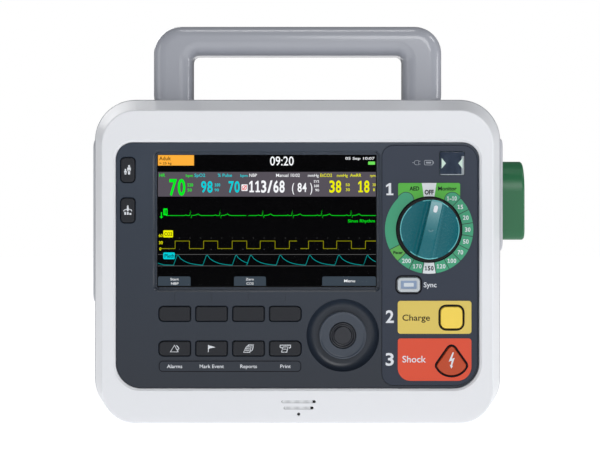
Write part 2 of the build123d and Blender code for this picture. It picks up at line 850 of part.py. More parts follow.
# ---------------------------------------------------------------- navigation knob
# A turning ring with a dished face, a press button in its middle and the encoder behind.
ring_front = 0.2
ring_back = dish_d - 0.6
web_front = 4.5
with BuildPart() as nav_knob:
    with BuildSketch(half_section(nav_u, nav_v)):
        with BuildLine():
            ThreePointArc((ring_hole_r, 1.4), (ring_hole_r + 0.2, 1.1), (ring_hole_r + 0.6, 1.0))
            Line((ring_hole_r + 0.6, 1.0), (14.4, 0.9))
            ThreePointArc((14.4, 0.9), (15.1, 0.7), (15.7, ring_front))
            ThreePointArc((15.7, ring_front), (ring_r - 0.2, 0.5), (ring_r, 1.2))
            Polyline(
                (ring_r, 1.2),
                (ring_r, ring_back),
                (hub_r, ring_back),
                (hub_r, hub_back),
                (nav_stem_r + slide_fit, hub_back),
                (nav_stem_r + slide_fit, web_front),
                (ring_hole_r, web_front),
                (ring_hole_r, 1.4),
            )
        make_face()
    revolve(axis=centre_line(nav_u, nav_v))
nav_knob.part.label = "nav_knob"
export_step(nav_knob.part, "parts/nav_knob.step")

# Its face is a flat disc with a groove round it and a thin rim.
nav_stem_back = 16.0
with BuildPart() as nav_button:
    with BuildSketch(half_section(nav_u, nav_v)):
        with BuildLine():
            Line((0, 0.6), (5.4, 0.6))
            ThreePointArc((5.4, 0.6), (5.9, 0.8), (6.1, 1.3))
            ThreePointArc((6.1, 1.3), (6.9, 2.1), (7.7, 1.5))
            ThreePointArc((7.7, 1.5), (8.2, 1.1), (nav_cap_r, 1.6))
            Polyline(
                (nav_cap_r, 1.6),
                (nav_cap_r, web_front - 1.3),
                (nav_stem_r, web_front - 1.3),
                (nav_stem_r, nav_stem_back),
                (0, nav_stem_back),
                (0, 0.6),
            )
        make_face()
    revolve(axis=centre_line(nav_u, nav_v))
nav_button.part.label = "nav_button"
export_step(nav_button.part, "parts/nav_button.step")

encoder_back = 20.0
encoder_front = board_d + board_t
with BuildPart() as nav_encoder:
    with BuildSketch(at_depth(encoder_back)):
        with Locations((nav_u, nav_v)):
            Rectangle(18, 18)
    extrude(amount=encoder_back - encoder_front)
    with BuildSketch(at_depth(hub_back + 0.5)):
        with Locations((nav_u, nav_v)):
            Circle(hub_r + run_fit)
    extrude(amount=6, mode=Mode.SUBTRACT)
    with BuildSketch(at_depth(nav_stem_back + 1.6)):
        with Locations((nav_u, nav_v)):
            Circle(nav_stem_r + run_fit)
    extrude(amount=6, mode=Mode.SUBTRACT)
nav_encoder.part.label = "nav_encoder"
export_step(nav_encoder.part, "parts/nav_encoder.step")

# ---------------------------------------------------------------- energy selector
# A domed knob cut away on both sides of a finger blade, which narrows towards its pointer.
# The pointer stands knob_turn degrees clockwise from straight up.
knob_centre = Vector(body_x + knob_u, front_y, foot_h + knob_v)
front_to_back = Axis((0, 0, 0), (0, 1, 0))
blade_taper = 1.0
with BuildPart() as therapy_knob:
    with BuildSketch(half_section(knob_u, knob_v)):
        with BuildLine():
            TangentArc((0, -knob_reach), (knob_r - 1.6, 1.4 - knob_reach), tangent=(1, 0))
            ThreePointArc(
                (knob_r - 1.6, 1.4 - knob_reach),
                (knob_r - 0.5, 1.9 - knob_reach),
                (knob_r, 3.0 - knob_reach),
            )
            Polyline(
                (knob_r, 3.0 - knob_reach), (knob_r, knob_base), (0, knob_base), (0, -knob_reach)
            )
        make_face()
    revolve(axis=centre_line(knob_u, knob_v))
    for side in (-1, 1):
        turn = knob_turn - side * blade_taper
        out = Vector(side, 0, 0).rotate(front_to_back, turn)
        up = Vector(0, 0, side).rotate(front_to_back, turn)
        with BuildSketch(Plane(origin=knob_centre, x_dir=out, z_dir=up)):
            with BuildLine():
                Line((4.0, -knob_reach - 1), (4.6, -9.0))
                ThreePointArc((4.6, -9.0), (5.8, -6.3), (8.6, -5.4))
                ThreePointArc((8.6, -5.4), (15.0, -5.2), (knob_r + 1, -6.4))
                Polyline(
                    (knob_r + 1, -6.4), (knob_r + 1, -knob_reach - 1), (4.0, -knob_reach - 1)
                )
            make_face()
        extrude(amount=knob_r + 2, both=True, mode=Mode.SUBTRACT)
    with BuildSketch(at_depth(knob_base)):
        with Locations((knob_u, knob_v)):
            Circle(shaft_r + 0.02)
    extrude(amount=9.5, mode=Mode.SUBTRACT)
therapy_knob.part.label = "therapy_knob"
export_step(therapy_knob.part, "parts/therapy_knob.step")

with BuildPart() as knob_shaft:
    with BuildSketch(at_depth(18)):
        with Locations((knob_u, knob_v)):
            Circle(shaft_r)
    extrude(amount=27.4)
knob_shaft.part.label = "knob_shaft"
export_step(knob_shaft.part, "parts/knob_shaft.step")

with BuildPart() as knob_seal:
    with BuildSketch(at_depth(therapy_d)):
        with Locations((knob_u, knob_v)):
            Circle(dial_hole_r - slide_fit)
            Circle(15, mode=Mode.SUBTRACT)
    extrude(amount=1.2)
    fillet(knob_seal.edges().group_by(Axis.Y)[0].sort_by(SortBy.RADIUS)[-1], 0.6)
knob_seal.part.label = "knob_seal"
export_step(knob_seal.part, "parts/knob_seal.step")

with BuildPart() as rotary_switch:
    with BuildSketch(at_depth(22)):
        with Locations((knob_u, knob_v)):
            Circle(14)
    extrude(amount=17.5)
    with BuildSketch(at_depth(4.6)):
        with Locations((knob_u, knob_v)):
            Circle(5)
    extrude(amount=3.4)
    with BuildSketch(at_depth(18.5)):
        with Locations((knob_u, knob_v)):
            Circle(shaft_r + run_fit)
    extrude(amount=20, mode=Mode.SUBTRACT)
rotary_switch.part.label = "rotary_switch"
export_step(rotary_switch.part, "parts/rotary_switch.step")

# ---------------------------------------------------------------- speaker
with BuildPart() as speaker:
    with BuildSketch(at_depth(12)):
        with Locations((speaker_u, speaker_v)):
            SlotOverall(40, 17)
    extrude(amount=12 - wall - slide_fit)
    with BuildSketch(at_depth(5.2)):
        with Locations((speaker_u, speaker_v)):
            SlotOverall(36, 13)
    extrude(amount=3, mode=Mode.SUBTRACT)
    with BuildSketch(at_depth(17)):
        with Locations((speaker_u, speaker_v)):
            Circle(8)
    extrude(amount=5)
speaker.part.label = "speaker"
export_step(speaker.part, "parts/speaker.step")

# ---------------------------------------------------------------- chassis and circuit boards
# The chassis plate has stand-offs for the main board and is notched round the screw posts.
main_board_d = 26.0
chassis_d = 34.0
with BuildPart() as chassis:
    block((-122, 122), (chassis_d, chassis_d + 1.5), (14, 200))
    block((-112, 112), (chassis_d, chassis_d + 12), (14, 15.5))
    block((-112, 112), (chassis_d, chassis_d + 12), (198.5, 200))
    with BuildSketch(at_depth(chassis_d + 2)):
        with Locations((-60, 108), (60, 108)):
            RectangleRounded(60, 110, 8)
        with Locations(*post_places):
            Circle(post_r + gap)
    extrude(amount=3, mode=Mode.SUBTRACT)
    with BuildSketch(at_depth(chassis_d)):
        with Locations((0, 108)):
            with GridLocations(190, 160, 2, 2):
                Circle(3)
    extrude(amount=chassis_d - main_board_d - board_t)
chassis.part.label = "chassis"
export_step(chassis.part, "parts/chassis.step")

# u, v, width, height and thickness of each component on the back of the main board.
components = [
    (-60, 116, 30, 30, 2),
    (-10, 126, 18, 18, 2),
    (30, 86, 24, 12, 2),
    (-70, 56, 14, 40, 5),
    (60, 56, 40, 10, 6),
]
with BuildPart() as main_board:
    block((-108, 108), (main_board_d, main_board_d + board_t), (20, 196))
    for u, v, width, height, thickness in components:
        block(
            (u - width / 2, u + width / 2),
            (main_board_d + board_t, main_board_d + board_t + thickness),
            (v - height / 2, v + height / 2),
        )
main_board.part.label = "main_board"
export_step(main_board.part, "parts/main_board.step")

# High-voltage board with its charging transformer, transfer relay and filter parts soldered on.
hv_board_d = 110.0
with BuildPart() as high_voltage_board:
    block((12, 118), (hv_board_d, hv_board_d + board_t), (116, 200))
    block((50, 90), (78, hv_board_d), (160, 196))
    with BuildSketch(at_side(45)):
        with Locations((94, 178)):
            RectangleRounded(22, 26, 6)
    extrude(amount=50)
    block((52, 84), (86, hv_board_d), (122, 150))
    for u, v, width, height in [(28, 135, 14, 10), (28, 152, 14, 10), (100, 132, 20, 8)]:
        block(
            (u - width / 2, u + width / 2),
            (hv_board_d - 10, hv_board_d),
            (v - height / 2, v + height / 2),
        )
high_voltage_board.part.label = "high_voltage_board"
export_step(high_voltage_board.part, "parts/high_voltage_board.step")

with BuildPart() as storage_capacitor:
    with BuildSketch(at_side(-70)):
        with Locations((75, 176)):
            Circle(21)
    extrude(amount=78)
    fillet(storage_capacitor.edges(), 2)
    with BuildSketch(at_side(8)):
        with Locations((75, 168), (75, 184)):
            Circle(3)
    extrude(amount=6)
storage_capacitor.part.label = "storage_capacitor"
export_step(storage_capacitor.part, "parts/storage_capacitor.step")

with BuildPart() as power_supply:
    block((-8, 78), (95, 160), (12, 64))
    for u in range(0, 71, 10):
        block((u - 2, u + 2), (102, 152), (61, 65), mode=Mode.SUBTRACT)
power_supply.part.label = "power_supply"
export_step(power_supply.part, "parts/power_supply.step")

# Cuff pump: a motor, its square pump head and the air outlet.
pump_u = -85.0
pump_v = 116.0
with BuildPart() as cuff_pump:
    with BuildSketch(at_depth(150)):
        with Locations((pump_u, pump_v)):
            Circle(14)
    extrude(amount=45)
    block((pump_u - 16, pump_u + 16), (93, 105), (pump_v - 16, pump_v + 16))
    with BuildSketch(at_depth(93)):
        with Locations((pump_u, pump_v + 8)):
            Circle(3)
    extrude(amount=8)
cuff_pump.part.label = "cuff_pump"
export_step(cuff_pump.part, "parts/cuff_pump.step")

# ---------------------------------------------------------------- therapy port
# Shroud with a round socket. The socket's floor is level with the casing's side.
side_u = body_w / 2
with BuildPart() as therapy_port:
    with BuildSketch(at_side(side_u - 6)):
        with Locations((port_d, port_v)):
            add(port_outline)
    extrude(amount=port_reach + 6)
    fillet(therapy_port.edges().group_by(Axis.X)[-1], 2.0)
    # Flange inside the casing.
    with BuildSketch(at_side(side_u - 6)):
        with Locations((port_d, port_v)):
            add(port_outline)
        offset(amount=2)
    extrude(amount=6 - wall - slide_fit)
    with BuildSketch(at_side(side_u)):
        with Locations((port_d, port_v)):
            Circle(port_bore_r)
    extrude(amount=port_reach + 1, mode=Mode.SUBTRACT)
    with BuildSketch(at_side(side_u - 7)):
        with Locations((port_d, port_v)):
            Circle(contact_r + run_fit)
    extrude(amount=8, mode=Mode.SUBTRACT)
therapy_port.part.label = "therapy_port"
export_step(therapy_port.part, "parts/therapy_port.step")

with BuildPart() as port_contacts:
    with BuildSketch(at_side(side_u - 12)):
        with Locations((port_d, port_v)):
            Circle(contact_r)
    extrude(amount=12)
    with BuildSketch(at_side(side_u - 7)):
        with Locations((port_d - 6, port_v), (port_d + 6, port_v)):
            Circle(2.5)
        with Locations((port_d, port_v)):
            with PolarLocations(10.5, 6):
                Circle(0.9)
    extrude(amount=8, mode=Mode.SUBTRACT)
port_contacts.part.label = "port_contacts"
export_step(port_contacts.part, "parts/port_contacts.step")

# ---------------------------------------------------------------- sensor panel and its sockets
# Name, d, v and bore radius of each socket.
sockets = [
    ("ecg_socket", 84.0, 176.0, 7.5),
    ("oximetry_socket", 122.0, 176.0, 6.0),
    ("cuff_socket", 84.0, 120.0, 4.0),
    ("gas_socket", 122.0, 120.0, 5.0),
]
panel_u = -side_u - sensor_reach
with BuildPart() as sensor_panel:
    with BuildSketch(at_side(panel_u)):
        with Locations((sensor_d, sensor_v)):
            RectangleRounded(sensor_w, sensor_h, 8)
    extrude(amount=sensor_reach)
    fillet(sensor_panel.edges().group_by(Axis.X)[0], 2.5)
    with BuildSketch(at_side(-side_u)):
        with Locations((sensor_d, sensor_v)):
            RectangleRounded(sensor_w - 10.6, sensor_h - 10.6, 5.7)
    extrude(amount=wall)
    with BuildSketch(at_side(panel_u - 1)):
        with Locations(*[(d, v) for _, d, v, _ in sockets]):
            Circle(socket_r + slide_fit)
    extrude(amount=sensor_reach + wall + 2, mode=Mode.SUBTRACT)
sensor_panel.part.label = "sensor_panel"
export_step(sensor_panel.part, "parts/sensor_panel.step")

for name, d, v, bore_r in sockets:
    with BuildPart() as socket:
        with BuildSketch(at_side(panel_u)):
            with Locations((d, v)):
                Circle(socket_r)
        extrude(amount=socket_len)
        with BuildSketch(at_side(panel_u - socket_lip)):
            with Locations((d, v)):
                Circle(socket_r + 2.5)
        extrude(amount=socket_lip)
        fillet(socket.edges().group_by(Axis.X)[0], 0.5)
        with BuildSketch(at_side(panel_u - socket_lip)):
            with Locations((d, v)):
                Circle(bore_r)
        extrude(amount=socket_bore, mode=Mode.SUBTRACT)
    socket.part.label = name
    export_step(socket.part, f"parts/{name}.step")

# ---------------------------------------------------------------- strip printer
# A box open to the right. Two bosses carry the roll and two bores take the door's pins.
boss_r = roll_core_r - 0.08
boss_reach = 6.0
with BuildPart() as printer_frame:
    block((bay_u, bay_mouth), bay_d, bay_v)
    block(
        (bay_u + bay_wall, bay_mouth + 1),
        (bay_d[0] + bay_wall, bay_d[1] - bay_wall),
        (bay_v[0] + bay_wall, bay_v[1] - bay_wall),
        mode=Mode.SUBTRACT,
    )
    with BuildSketch(at_depth(paper_d - paper_w / 2 + boss_reach)):
        with Locations((roll_u, roll_v)):
            Circle(boss_r)
    extrude(amount=paper_d - paper_w / 2 + boss_reach - bay_d[0] - 1)
    with BuildSketch(at_depth(bay_d[1] - 1)):
        with Locations((roll_u, roll_v)):
            Circle(boss_r)
    extrude(amount=bay_d[1] - 1 - paper_d - paper_w / 2 + boss_reach)
    with BuildSketch(at_depth(bay_d[1])):
        with Locations((hinge_u, hinge_v)):
            Circle(hinge_pin_r + run_fit)
    extrude(amount=bay_d[1] - bay_d[0], mode=Mode.SUBTRACT)
printer_frame.part.label = "printer_frame"
export_step(printer_frame.part, "parts/printer_frame.step")

with BuildPart() as print_head:
    block((120, 131.0), (95, 151), (87, bay_v[1] - bay_wall))
    block((131.0, 131.2), (96, 150), (91, 95))
print_head.part.label = "print_head"
export_step(print_head.part, "parts/print_head.step")

with BuildPart() as paper_roll:
    with BuildSketch(at_depth(paper_d + paper_w / 2)):
        with Locations((roll_u, roll_v)):
            Circle(roll_r)
            Circle(roll_core_r, mode=Mode.SUBTRACT)
    extrude(amount=paper_w)
paper_roll.part.label = "paper_roll"
export_step(paper_roll.part, "parts/paper_roll.step")

with BuildPart() as printer_door:
    with BuildSketch(at_side(door_u)):
        with Locations((sum(door_d) / 2, (hinge_v + door_top) / 2)):
            Rectangle(door_d[1] - door_d[0], door_top - hinge_v)
    extrude(amount=side_u - door_u)
    # Hinge barrel with a pin at each end, then the two ears that hold the platen.
    with BuildSketch(at_depth(door_d[1])):
        with Locations((hinge_u, hinge_v)):
            Circle(barrel_r)
    extrude(amount=door_d[1] - door_d[0])
    with BuildSketch(at_depth(bay_d[1] - 0.4)):
        with Locations((hinge_u, hinge_v)):
            Circle(hinge_pin_r)
    extrude(amount=bay_d[1] - bay_d[0] - 0.8)
    for span in ear_d:
        block((131, door_u + 0.5), span, (platen_v - 5, platen_v + 5))
    with BuildSketch(at_depth(ear_d[1][1] + 1)):
        with Locations((platen_u, platen_v)):
            Circle(hinge_pin_r + run_fit)
    extrude(amount=ear_d[1][1] - ear_d[0][0] + 2, mode=Mode.SUBTRACT)
    # Slot for the latch tab, which slides down in it.
    with BuildSketch(at_side(door_u - 1)):
        with Locations((paper_d, tab_v - latch_travel / 2)):
            Rectangle(tab_w + 2 * tab_gap, tab_h + latch_travel + 2 * tab_gap)
    extrude(amount=6, mode=Mode.SUBTRACT)
printer_door.part.label = "printer_door"
export_step(printer_door.part, "parts/printer_door.step")

with BuildPart() as platen_roller:
    with BuildSketch(at_depth(paper_d + platen_w / 2)):
        with Locations((platen_u, platen_v)):
            Circle(platen_r)
    extrude(amount=platen_w)
    with BuildSketch(at_depth(ear_d[1][1] + 0.5)):
        with Locations((platen_u, platen_v)):
            Circle(hinge_pin_r)
    extrude(amount=ear_d[1][1] - ear_d[0][0] + 1)
platen_roller.part.label = "platen_roller"
export_step(platen_roller.part, "parts/platen_roller.step")

# Tab that shows through the door's slot, on a plate behind it.
with BuildPart() as door_latch:
    with BuildSketch(at_side(door_u - 0.8)):
        with Locations((paper_d, tab_v)):
            Rectangle(tab_w, tab_h)
    extrude(amount=side_u - door_u + 1.2)
    for step in (-1.5, 0, 1.5):
        block(
            (side_u, side_u + 1),
            (paper_d - 9, paper_d + 9),
            (tab_v + step - 0.3, tab_v + step + 0.3),
            mode=Mode.SUBTRACT,
        )
    with BuildSketch(at_side(door_u - 1)):
        with Locations((paper_d, tab_v)):
            Rectangle(tab_w + 5, tab_h + 2.2)
    extrude(amount=0.7)
door_latch.part.label = "door_latch"
export_step(door_latch.part, "parts/door_latch.step")

# ---------------------------------------------------------------- battery and its latch
with BuildPart() as battery_pack:
    with BuildSketch(at_depth(body_d)):
        with Locations((battery_u, battery_v)):
            RectangleRounded(battery_w, battery_h, 3)
    extrude(amount=battery_len)
    fillet(battery_pack.edges().group_by(Axis.Y)[-1], 1.0)
    # Finger recess in its outer end.
    with BuildSketch(at_depth(body_d)):
        with Locations((battery_u, finger_v)):
            RectangleRounded(finger_w, finger_h, 5)
    extrude(amount=finger_deep, mode=Mode.SUBTRACT)
battery_pack.part.label = "battery_pack"
export_step(battery_pack.part, "parts/battery_pack.step")

with BuildPart() as battery_latch:
    with BuildSketch(at_depth(body_d - 0.2)):
        with Locations((battery_u, release_v)):
            RectangleRounded(release_w, release_h, 1.5)
    extrude(amount=3.5)
    fillet(battery_latch.edges().group_by(Axis.Y)[-1], 0.6)
    for step in (-2.5, 0, 2.5):
        block(
            (battery_u - 8, battery_u + 8),
            (body_d - 0.8, body_d),
            (release_v + step - 0.4, release_v + step + 0.4),
            mode=Mode.SUBTRACT,
        )
battery_latch.part.label = "battery_latch"
export_step(battery_latch.part, "parts/battery_latch.step")

# ---------------------------------------------------------------- mains inlet and earth post
with BuildPart() as mains_inlet:
    with BuildSketch(at_depth(body_d)):
        with Locations((inlet_u, inlet_v)):
            RectangleRounded(inlet_w, inlet_h, 3)
    extrude(amount=2)
    with BuildSketch(at_depth(body_d - 2)):
        with Locations((inlet_u, inlet_v)):
            Rectangle(inlet_body_w, inlet_body_h)
    extrude(amount=inlet_well + 2)
    with BuildSketch(at_depth(body_d)) as plug_well:
        with Locations((inlet_u, inlet_v)):
            Rectangle(24.6, 17)
        chamfer(plug_well.vertices().group_by(Axis.Z)[-1], 4.5)
    extrude(amount=inlet_well, mode=Mode.SUBTRACT)
    # Three flat pins that stand up from the well's floor.
    with BuildSketch(at_depth(body_d - inlet_well)):
        with Locations((inlet_u - 7, inlet_v - 2), (inlet_u + 7, inlet_v - 2)):
            Rectangle(2, 4)
        with Locations((inlet_u, inlet_v + 3)):
            Rectangle(2, 4)
    extrude(amount=-(inlet_well - 3))
mains_inlet.part.label = "mains_inlet"
export_step(mains_inlet.part, "parts/mains_inlet.step")

with BuildPart() as earth_post:
    # The pin that a bonding lead's socket goes over, on a neck with its nut inside the wall.
    with BuildSketch(at_depth(body_d - earth_end)):
        with Locations((earth_u, earth_v)):
            Circle(earth_r)
    extrude(amount=earth_pin)
    with BuildSketch(at_depth(body_d - earth_end)):
        with Locations((earth_u, earth_v)):
            Circle(earth_neck_r)
    extrude(amount=16)
    with BuildSketch(at_depth(body_d - 11)):
        with Locations((earth_u, earth_v)):
            RegularPolygon(5.5, 6)
    extrude(amount=4)
    chamfer(earth_post.edges().group_by(Axis.Y)[-1], earth_tip)
earth_post.part.label = "earth_post"
export_step(earth_post.part, "parts/earth_post.step")
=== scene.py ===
import math

import bpy
from mathutils import Matrix, Vector


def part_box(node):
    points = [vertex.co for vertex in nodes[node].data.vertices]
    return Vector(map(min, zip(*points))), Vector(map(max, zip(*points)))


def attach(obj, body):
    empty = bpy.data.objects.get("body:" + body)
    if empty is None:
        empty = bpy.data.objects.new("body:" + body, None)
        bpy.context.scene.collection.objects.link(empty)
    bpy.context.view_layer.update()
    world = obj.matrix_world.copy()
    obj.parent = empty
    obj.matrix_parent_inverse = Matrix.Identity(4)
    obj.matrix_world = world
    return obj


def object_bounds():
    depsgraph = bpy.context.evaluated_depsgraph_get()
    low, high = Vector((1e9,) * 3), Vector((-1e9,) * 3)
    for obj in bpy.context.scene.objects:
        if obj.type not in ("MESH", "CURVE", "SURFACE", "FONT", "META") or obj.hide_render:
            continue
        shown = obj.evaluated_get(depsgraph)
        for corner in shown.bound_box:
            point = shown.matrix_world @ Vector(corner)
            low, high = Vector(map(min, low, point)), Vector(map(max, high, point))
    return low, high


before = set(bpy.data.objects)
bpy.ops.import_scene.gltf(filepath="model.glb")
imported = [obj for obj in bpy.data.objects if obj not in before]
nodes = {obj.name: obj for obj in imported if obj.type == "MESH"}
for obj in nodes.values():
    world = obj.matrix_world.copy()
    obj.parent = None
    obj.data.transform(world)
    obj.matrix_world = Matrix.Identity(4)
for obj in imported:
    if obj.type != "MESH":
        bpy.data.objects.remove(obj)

# Portable monitor and defibrillator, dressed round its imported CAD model. Metres, +Z up, the front faces -Y.
cad_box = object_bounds()
MM = 0.001

# ------------------------------------------------------------------------------------------------ studio
# The camera stands level with the middle of the casing, 1.3 m in front of it. The white table gives most of
# the light. A large soft lamp adds to it from the front, and small ones catch the edges from the sides.


def shade(red, green, blue):
    """Colour as a screen shows it, 0 to 255, in the linear values that shaders and lamps take."""
    linear = [(c / 255 / 12.92) if c < 11 else ((c / 255 + 0.055) / 1.055) ** 2.4 for c in (red, green, blue)]
    return (*linear, 1.0)


bpy.ops.object.select_all(action="DESELECT")
bezel_low, bezel_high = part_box("front_bezel")
casing_x = (bezel_low.x + bezel_high.x) / 2
camera_back = 1.3
camera_height = 0.139
camera_right = 0.00174
bpy.ops.object.camera_add(
    location=(casing_x + camera_right, bezel_low.y - camera_back, camera_height), rotation=(math.pi / 2, 0, 0)
)
camera = bpy.context.object
camera.data.sensor_width = 36.0
camera.data.lens = 111.9
bpy.context.scene.camera = camera
bpy.context.scene.view_settings.view_transform = "Standard"


def soft_panel(name, place, width, height, watts, tint=(255, 255, 255)):
    """A rectangular lamp that faces the middle of the casing."""
    bpy.ops.object.light_add(type="AREA", location=place)
    lamp = bpy.context.object
    lamp.name = name
    aim = Vector((casing_x, 0, 0.13)) - Vector(place)
    lamp.rotation_euler = aim.to_track_quat("-Z", "Y").to_euler()
    lamp.data.shape = "RECTANGLE"
    lamp.data.size = width
    lamp.data.size_y = height
    lamp.data.energy = watts
    lamp.data.color = shade(*tint)[:3]


soft_panel("key_panel", (0.45, -2.0, 0.95), 0.9, 0.9, 12.5)
soft_panel("right_panel", (1.4, -0.15, 0.2), 0.3, 0.4, 2.2)
soft_panel("top_panel", (0.0, -0.2, 1.5), 0.4, 0.3, 2.0)
soft_panel("corner_panel", (1.0, -0.15, 1.1), 0.35, 0.35, 2.2)
soft_panel("left_strip", (-1.35, -0.45, 0.4), 0.1, 0.9, 1.5)
soft_panel("rear_panel", (-0.9, 1.9, 1.1), 1.2, 0.9, 12)

world = bpy.data.worlds.new("room")
bpy.context.scene.world = world
world.use_nodes = True
room = world.node_tree.nodes
sky = room["Background"]
sky.inputs["Color"].default_value = shade(248, 250, 255)
sky.inputs["Strength"].default_value = 0.14
wall_seen = room.new("ShaderNodeBackground")
wall_seen.inputs["Color"].default_value = (1, 1, 1, 1)
eye = room.new("ShaderNodeLightPath")
both = room.new("ShaderNodeMixShader")
for source, target in (
    (eye.outputs["Is Camera Ray"], both.inputs[0]),
    (sky.outputs[0], both.inputs[1]),
    (wall_seen.outputs[0], both.inputs[2]),
    (both.outputs[0], room["World Output"].inputs["Surface"]),
):
    world.node_tree.links.new(source, target)


class Wire:
    """One output of a material's nodes. Sums on it add Math nodes."""

    def __init__(self, finish, socket):
        self.finish = finish
        self.socket = socket

    def maths(self, operation, *values):
        return self.finish.node("ShaderNodeMath", {"operation": operation}, dict(enumerate((self, *values))))

    def __add__(self, other):
        return self.maths("ADD", other)

    def __sub__(self, other):
        return self.maths("SUBTRACT", other)

    def __rsub__(self, other):
        return (self * -1.0).maths("ADD", other)

    def __mul__(self, other):
        return self.maths("MULTIPLY", other)

    def __truediv__(self, other):
        return self.maths("DIVIDE", other)

    def __pow__(self, other):
        return self.maths("POWER", other)

    def __gt__(self, other):
        return self.maths("GREATER_THAN", other)

    def __lt__(self, other):
        return self.maths("LESS_THAN", other)

    def __or__(self, other):
        return self.maths("MAXIMUM", other)

    def __abs__(self):
        return self.maths("ABSOLUTE")

    def clamped(self):
        """Held between 0 and 1."""
        return self.maths("MAXIMUM", 0.0).maths("MINIMUM", 1.0)

    __radd__ = __add__
    __rmul__ = __mul__


class Finish:
    """A material in the making, on one Principled surface."""

    def __init__(self, name, **surface):
        self.material = bpy.data.materials.new(name)
        self.material.use_nodes = True
        self.tree = self.material.node_tree
        self.surface = self.tree.nodes["Principled BSDF"]
        self.set({socket.replace("_", " "): value for socket, value in surface.items()})

    def node(self, kind, settings=(), inputs=(), output=0):
        """Adds any node: its settings are made first, then its sockets get values or wires."""
        node = self.tree.nodes.new(kind)
        for setting, value in dict(settings).items():
            setattr(node, setting, value)
        self.set(dict(inputs), node)
        return Wire(self, node.outputs[output])

    def set(self, inputs, node=None):
        node = node or self.surface
        for socket, value in inputs.items():
            if isinstance(value, Wire):
                self.tree.links.new(value.socket, node.inputs[socket])
            else:
                node.inputs[socket].default_value = value

    def axes(self, centre=(0, 0, 0)):
        """The x, y and z of the place, from a centre, in millimetres."""
        place = self.node("ShaderNodeTexCoord", output="Object")
        place = self.node("ShaderNodeVectorMath", {"operation": "SUBTRACT"}, {0: place, 1: tuple(centre)})
        place = self.node("ShaderNodeVectorMath", {"operation": "SCALE"}, {0: place, "Scale": 1 / MM})
        return [self.node("ShaderNodeSeparateXYZ", inputs={0: place}, output=axis) for axis in range(3)]

    def noise(self, size, detail=2.0, stretch=(1, 1, 1)):
        """Soft noise with lumps of about that size in millimetres, from 0 to 1."""
        place = self.node("ShaderNodeTexCoord", output="Object")
        place = self.node("ShaderNodeMapping", inputs={"Vector": place, "Scale": stretch})
        look = {"Vector": place, "Scale": 1 / (size * MM), "Detail": detail}
        return self.node("ShaderNodeTexNoise", inputs=look)

    def mix(self, share, first, second):
        return self.node("ShaderNodeMix", {"data_type": "RGBA"}, {0: share, 6: first, 7: second}, output=2)

    def bump(self, height, depth):
        """Dents the surface by height, 0 to 1, times depth in millimetres."""
        self.set({"Normal": self.node("ShaderNodeBump", inputs={"Height": height, "Distance": depth * MM})})

    def on(self, *names):
        """Puts the material on CAD nodes."""
        for name in names:
            nodes[name].data.materials[0] = self.material
        return self


def distance(east, north):
    """How far a place is from the centre of its axes."""
    return (east * east + north * north) ** 0.5


def toned(colour, share):
    """A screen colour made lighter or darker by a share, in linear values."""
    return (*(min(c * share, 1) for c in shade(*colour)[:3]), 1.0)


def moulded(name, colour, roughness=0.42, grain=0.55, depth=0.012, mottle=0.04, **surface):
    """Spark-eroded moulded plastic: fine grain with a faint mottle in colour and gloss."""
    finish = Finish(name, **surface)
    cloud = finish.noise(34, 3)
    fine = finish.noise(grain, 3)
    tone = finish.mix(cloud * 0.75 + fine * 0.25, toned(colour, 1 - mottle), toned(colour, 1 + mottle))
    finish.set({"Base Color": tone, "Roughness": cloud * 0.08 + fine * 0.06 + (roughness - 0.07)})
    finish.bump(fine, depth)
    return finish


# The white table fades into the white room from 0.6 m to 2 m away, so that no horizon shows.
near_mm, fade_mm = 600.0, 1400.0
bpy.ops.mesh.primitive_plane_add(size=12, location=(0, 2, 0))
table = bpy.context.object
table.name = "table"
board = moulded("white_board", (188, 188, 190), roughness=0.9, grain=2.0, depth=0.01, mottle=0.01)
across, along, _ = board.axes((0, -table.location.y, 0))
far = ((distance(across, along) - near_mm) / fade_mm).clamped()
board.set({"Emission Color": (1, 1, 1, 1), "Emission Strength": far * 0.1 + 0.88, "Specular IOR Level": 0.1})
table.data.materials.append(board.material)

# ------------------------------------------------------------------------------------------------ casing
# Two moulded halves in white and light grey meet on a black rubber seal. Zinc-plated screws close them from
# the rear, brass inserts in the floor take a stand, and four soft feet are pressed into the underside.
moulded("white_casing", (237, 239, 243), roughness=0.42, mottle=0.012).on("front_bezel")
grey_casing = moulded("grey_casing", (190, 192, 198), roughness=0.46, depth=0.02, mottle=0.02)
grey_casing.on("rear_case", "printer_door")
moulded("seal_rubber", (34, 35, 38), roughness=0.72, grain=0.3, depth=0.02, mottle=0.15).on(
    "case_seal", "platen_roller"
)
moulded("foot_rubber", (62, 63, 66), roughness=0.85, grain=0.4, depth=0.04, mottle=0.1).on("rubber_feet")


def metal(name, colour, roughness=0.32, stretch=(1, 1, 1), grain=1.2):
    """Machined or rolled metal, with fine marks drawn out along the way it was worked."""
    finish = Finish(name, Metallic=1.0)
    marks = finish.noise(grain, 3, stretch)
    stains = finish.noise(11, 3)
    worn = stains * 0.7 + marks * 0.3
    finish.set({"Base Color": finish.mix(worn, toned(colour, 0.88), toned(colour, 1.08))})
    finish.set({"Roughness": marks * 0.16 + stains * 0.1 + (roughness - 0.1)})
    finish.bump(marks, 0.01)
    return finish


metal("screw_steel", (196, 196, 200), stretch=(1, 0.1, 1)).on("casing_screws", "knob_shaft")
metal("insert_brass", (205, 170, 100), stretch=(1, 1, 0.1)).on("stand_inserts")
metal("post_brass", (214, 186, 122), stretch=(1, 0.1, 1)).on("earth_post")

# ------------------------------------------------------------------------------------------------ handle
# A hollow grey bar moulded in one piece with its legs, which stand on the casing, with a soft-touch coat.
handle_coat = {"Coat_Weight": 0.8, "Coat_Roughness": 0.14}
moulded("handle_grip", (165, 168, 177), grain=0.7, depth=0.02, mottle=0.03, **handle_coat).on("carry_handle")

